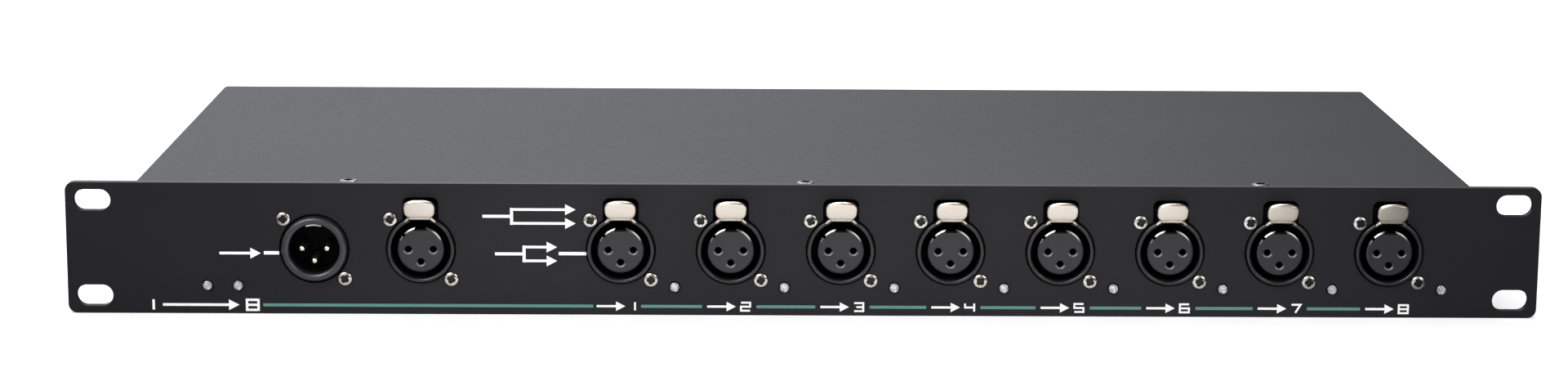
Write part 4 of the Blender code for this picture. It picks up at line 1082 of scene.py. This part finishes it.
def build_screws():
    head = screw_form(SCREW_HEAD, SCREW_HEAD_HEIGHT, SCREW_LENGTH, SCREW_CROSS)
    count = 0
    for name in SOCKETS:
        for label, side in (("upper", -1), ("lower", 1)):
            place = socket_place(name) + Vector((side * SCREW_OFFSET, 0, -side * SCREW_OFFSET))
            add_screw(f"{name}_{label}_screw", head, place, (0, count * SCREW_TURN, 0))
            count += 1
    low_head = screw_form(LOW_HEAD, LOW_HEAD_HEIGHT, LOW_SCREW_LENGTH, LOW_CROSS)
    for i in (-1, 0, 1):
        x = i * COVER_SCREW_PITCH
        add_screw(f"cover_front_screw_{i + 2}", low_head, (x, cover_low.y + COVER_SCREW_INSET, cover_high.z),
                  (-pi / 2, 0, 0.4 + i * 0.5))
        add_screw(f"cover_rear_screw_{i + 2}", low_head, (x, cover_high.y - GAP, cover_high.z - REAR_LIP / 2),
                  (0, 0.9 + i * 0.7, pi))
    inlet = middle("mains_inlet")
    for label, side in (("left", -1), ("right", 1)):
        add_screw(f"inlet_{label}_screw", low_head, (inlet.x + side * INLET_SCREW_OFFSET, INLET_FACE, inlet.z),
                  (0, 0.3 + side * 0.4, pi))
        for i, along in enumerate((-0.5, 0.5)):
            add_screw(f"cover_{label}_screw_{i + 1}", low_head,
                      (side * cover_high.x, along * SIDE_SCREW_SPACING, SIDE_SCREW_HEIGHT),
                      (0, 0.5 + i, side * pi / 2))


def build_lamps():
    dome = [(LED_RADIUS * sin(a), LED_RADIUS - LED_PROUD - LED_RADIUS * cos(a)) for a in quarter(8)]
    lens = turned(dome + LENS_BACK, 32)
    cup = turned(CUP_PROFILE, SMALL_ROUND)
    for name in LAMPS:
        place = Vector((middle(name).x, FRONT, middle(name).z))
        add_piece(f"{name}_lens", lens, LAMP_LENS, place, stands_for=[name])
        add_piece(f"{name}_cup", cup, MILL_ALUMINIUM, place + Vector((-CUP_SHIFT, 0, -CUP_SHIFT)))


# Rear fittings

def rocker_form():
    # Dished rocker about its hinge axis
    steps = 14
    dish = [(ROCKER_CREST - ROCKER_DISH * (1 - t * t), ROCKER_END * t)
            for t in [1 - 2 * i / steps for i in range(steps + 1)]]
    hub = [(-ROCKER_BACK * cos(a), -ROCKER_BACK * sin(a)) for a in [pi / 3 - i * pi / 9 for i in range(7)]]
    skirt = ROCKER_CREST - 2.2 * ROCKER_DISH - ROCKER_END * sin(ROCKER_TILT) / 2
    outline = dish + [(skirt, -ROCKER_END)] + hub + [(skirt, ROCKER_END)]
    body = slab([outline[::-1]], -ROCKER_HALF_WIDTH, ROCKER_HALF_WIDTH, ROCKER_EDGE, ROCKER_EDGE)
    body.transform(SIDEWAYS)
    return moved(body, turn=ROCKER_TILT)


def rocker_marks():
    # A line on the rocker's upper half and a ring on its lower half
    line = slab([rounded_rectangle(*ROCKER_LINE)], 0.0, ROCKER_MARK)
    ring = slab([circle(radius, sides=40) for radius in ROCKER_RING], 0.0, ROCKER_MARK)
    marks = []
    for mark, level in ((line, ROCKER_MARK_LEVEL), (ring, -ROCKER_MARK_LEVEL)):
        slope = 2 * ROCKER_DISH * level / ROCKER_END ** 2
        height = ROCKER_CREST - ROCKER_DISH * (1 - (level / ROCKER_END) ** 2)
        marks.append(moved(moved(mark, turn=-slope), (0, height - ROCKER_MARK_SUNK, level)))
    return moved(gathered(marks), turn=ROCKER_TILT)


def fuse_form():
    # Glass tube with two metal caps
    inner = FUSE_END - FUSE_CAP_LENGTH
    end = [(FUSE_TUBE, inner), (FUSE_CAP, inner), (FUSE_CAP, FUSE_END - FUSE_EDGE),
           (FUSE_CAP - FUSE_EDGE, FUSE_END), (0, FUSE_END)]
    mesh = turned([(radius, -x) for radius, x in reversed(end)] + end, 40, "X")
    return shared_out(mesh, (FUSE_GLASS, BLADE_NICKEL),
                      lambda face: FUSE_GLASS if abs(face.center.x) < inner - FUSE_EDGE else BLADE_NICKEL)


def build_rear_fittings():
    pivot = Vector((middle("switch_rocker").x, BEZEL_FACE - ROCKER_DISH, middle("switch_frame").z))
    add_piece("rocker", rocker_form(), MOULDED_BLACK, pivot, "switch_rocker", stands_for=["switch_rocker"],
              crease=30)
    add_piece("rocker_marks", rocker_marks(), WHITE_INK, pivot, "switch_rocker")
    add_piece("cartridge_fuse", fuse_form(), None, middle("fuse"), "fuse_drawer", stands_for=["fuse"])
    reach = FUSE_END - FUSE_CAP_LENGTH / 2
    wire = turned([(0, -reach), (FUSE_WIRE, -reach), (FUSE_WIRE, reach), (0, reach)], 8, "X")
    add_piece("fuse_wire", wire, BLADE_NICKEL, middle("fuse"), "fuse_drawer")


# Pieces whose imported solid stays, with their sharp edges broken

def dress_solids():
    finishes = {
        "base_tray": (CASE_PAINT, 0.0), "signal_board": (BOARD_GREEN, 0.0), "power_board": (BOARD_GREEN, 0.0),
        "transformer": (POTTING, 0.0006), "smoothing_capacitor": (SLEEVE_BLUE, 0.0003),
        "regulator_heatsink": (MILL_ALUMINIUM, 0.0002), "mains_inlet": (MOULDED_BLACK, 0.0004),
        "fuse_drawer": (MOULDED_BLACK, 0.0), "switch_frame": (MOULDED_BLACK, 0.0004),
    }
    for wire in ("line", "neutral", "earth"):
        finishes[f"inlet_{wire}_blade"] = (BLADE_NICKEL, 0.0002)
    for name, (material, edge) in finishes.items():
        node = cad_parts[name]
        for slot in node.material_slots:
            slot.material = material
        if edge:
            add_modifier(node, "joined corners", "WELD", merge_threshold=0.00001)
            add_modifier(node, "broken edges", "BEVEL", width=edge, segments=2, limit_method="ANGLE",
                         angle_limit=radians(35), harden_normals=True)


# Floor, backdrop light, lamps and camera

def seen_ray(tree):
    # One where the eye, a mirror or glass looks at the surface, and nought for the light it gives
    path = add_node(tree, "ShaderNodeLightPath").outputs
    first = reckoned(tree, "MAXIMUM", path["Is Camera Ray"], path["Is Glossy Ray"])
    return reckoned(tree, "MAXIMUM", first, path["Is Transmission Ray"])


def build_floor():
    bpy.ops.mesh.primitive_plane_add(size=FLOOR_SIZE, location=(0, 0, panel_low.z))
    floor = bpy.context.active_object
    floor.name = "studio_floor"
    material, tree, shader = shader_of("studio_floor")
    shader.inputs["Roughness"].default_value = 0.9
    shader.inputs["Specular IOR Level"].default_value = 0.0
    shader.inputs["Emission Color"].default_value = (1, 1, 1, 1)
    # Painted shade seen only in mirrors: for glossy rays the floor darkens towards both ends, so the panel's
    # reflection of it fades there
    across = add_node(tree, "ShaderNodeSeparateXYZ", {"Vector": piece_place(tree)}).outputs["X"]
    fade = remapped(tree, reckoned(tree, "ABSOLUTE", across), FADE_SPAN, FADE_TONES,
                    interpolation_type="SMOOTHSTEP")
    path = add_node(tree, "ShaderNodeLightPath").outputs
    lit = mixed(tree, path["Is Glossy Ray"], 1.0, fade)
    tree.links.new(scaled(tree, FLOOR_WHITE, lit), shader.inputs["Base Color"])
    glow = reckoned(tree, "MULTIPLY", seen_ray(tree), FLOOR_GLOW)
    tree.links.new(reckoned(tree, "MULTIPLY", glow, lit), shader.inputs["Emission Strength"])
    floor.data.materials.append(material)


def build_world():
    world = bpy.data.worlds.new("studio")
    bpy.context.scene.world = world
    world.use_nodes = True
    tree = world.node_tree
    background = tree.nodes["Background"]
    # Mirrored surroundings are cool, and brighter at the left, where the window wall stands
    direction = add_node(tree, "ShaderNodeTexCoord").outputs["Generated"]
    across = add_node(tree, "ShaderNodeSeparateXYZ", {"Vector": direction}).outputs["X"]
    wall = remapped(tree, across, WALL_SPAN, WALL_TONES, interpolation_type="SMOOTHSTEP")
    path = add_node(tree, "ShaderNodeLightPath").outputs
    cool = mixed(tree, path["Is Glossy Ray"], (1, 1, 1, 1), COOL_TINT, data_type="RGBA")
    tree.links.new(cool, background.inputs["Color"])
    mirrored = mixed(tree, path["Is Camera Ray"], wall, 1.0)
    tree.links.new(mixed(tree, seen_ray(tree), AMBIENT, mirrored), background.inputs["Strength"])


def add_lamp(name, place, size, power):
    # Area light that faces the part
    data = bpy.data.lights.new(name, "AREA")
    data.shape = "RECTANGLE"
    data.size, data.size_y = size
    data.energy = power
    lamp = bpy.data.objects.new(name, data)
    lamp.location = place
    lamp.rotation_euler = (-Vector(place)).to_track_quat("-Z", "Y").to_euler()
    bpy.context.collection.objects.link(lamp)


def build_camera():
    ahead = Vector((sin(CAMERA_YAW) * cos(CAMERA_PITCH), cos(CAMERA_YAW) * cos(CAMERA_PITCH),
                    -sin(CAMERA_PITCH)))
    level_right = ahead.cross(Vector((0, 0, 1))).normalized()
    level_up = level_right.cross(ahead)
    right = level_right * cos(CAMERA_ROLL) + level_up * sin(CAMERA_ROLL)
    up = level_up * cos(CAMERA_ROLL) - level_right * sin(CAMERA_ROLL)
    data = bpy.data.cameras.new("camera")
    data.sensor_width = SENSOR_WIDTH
    data.lens = FOCAL_PIXELS / IMAGE_WIDTH * SENSOR_WIDTH
    data.shift_x = (IMAGE_WIDTH / 2 - OPTICAL_CENTRE[0]) / IMAGE_WIDTH
    data.shift_y = (OPTICAL_CENTRE[1] - IMAGE_HEIGHT / 2) / IMAGE_WIDTH
    data.clip_start, data.clip_end = 0.01, 50.0
    camera = bpy.data.objects.new("camera", data)
    camera.matrix_world = Matrix.Translation(CAMERA_PLACE) @ Matrix((right, up, -ahead)).transposed().to_4x4()
    bpy.context.collection.objects.link(camera)
    bpy.context.scene.camera = camera


build_camera()
build_floor()
build_world()
for lamp in STUDIO_LAMPS:
    add_lamp(*lamp)
bpy.context.scene.view_settings.view_transform = "Standard"

build_panel()
build_cover()
build_receptacles()
build_screws()
build_lamps()
build_rear_fittings()
dress_solids()
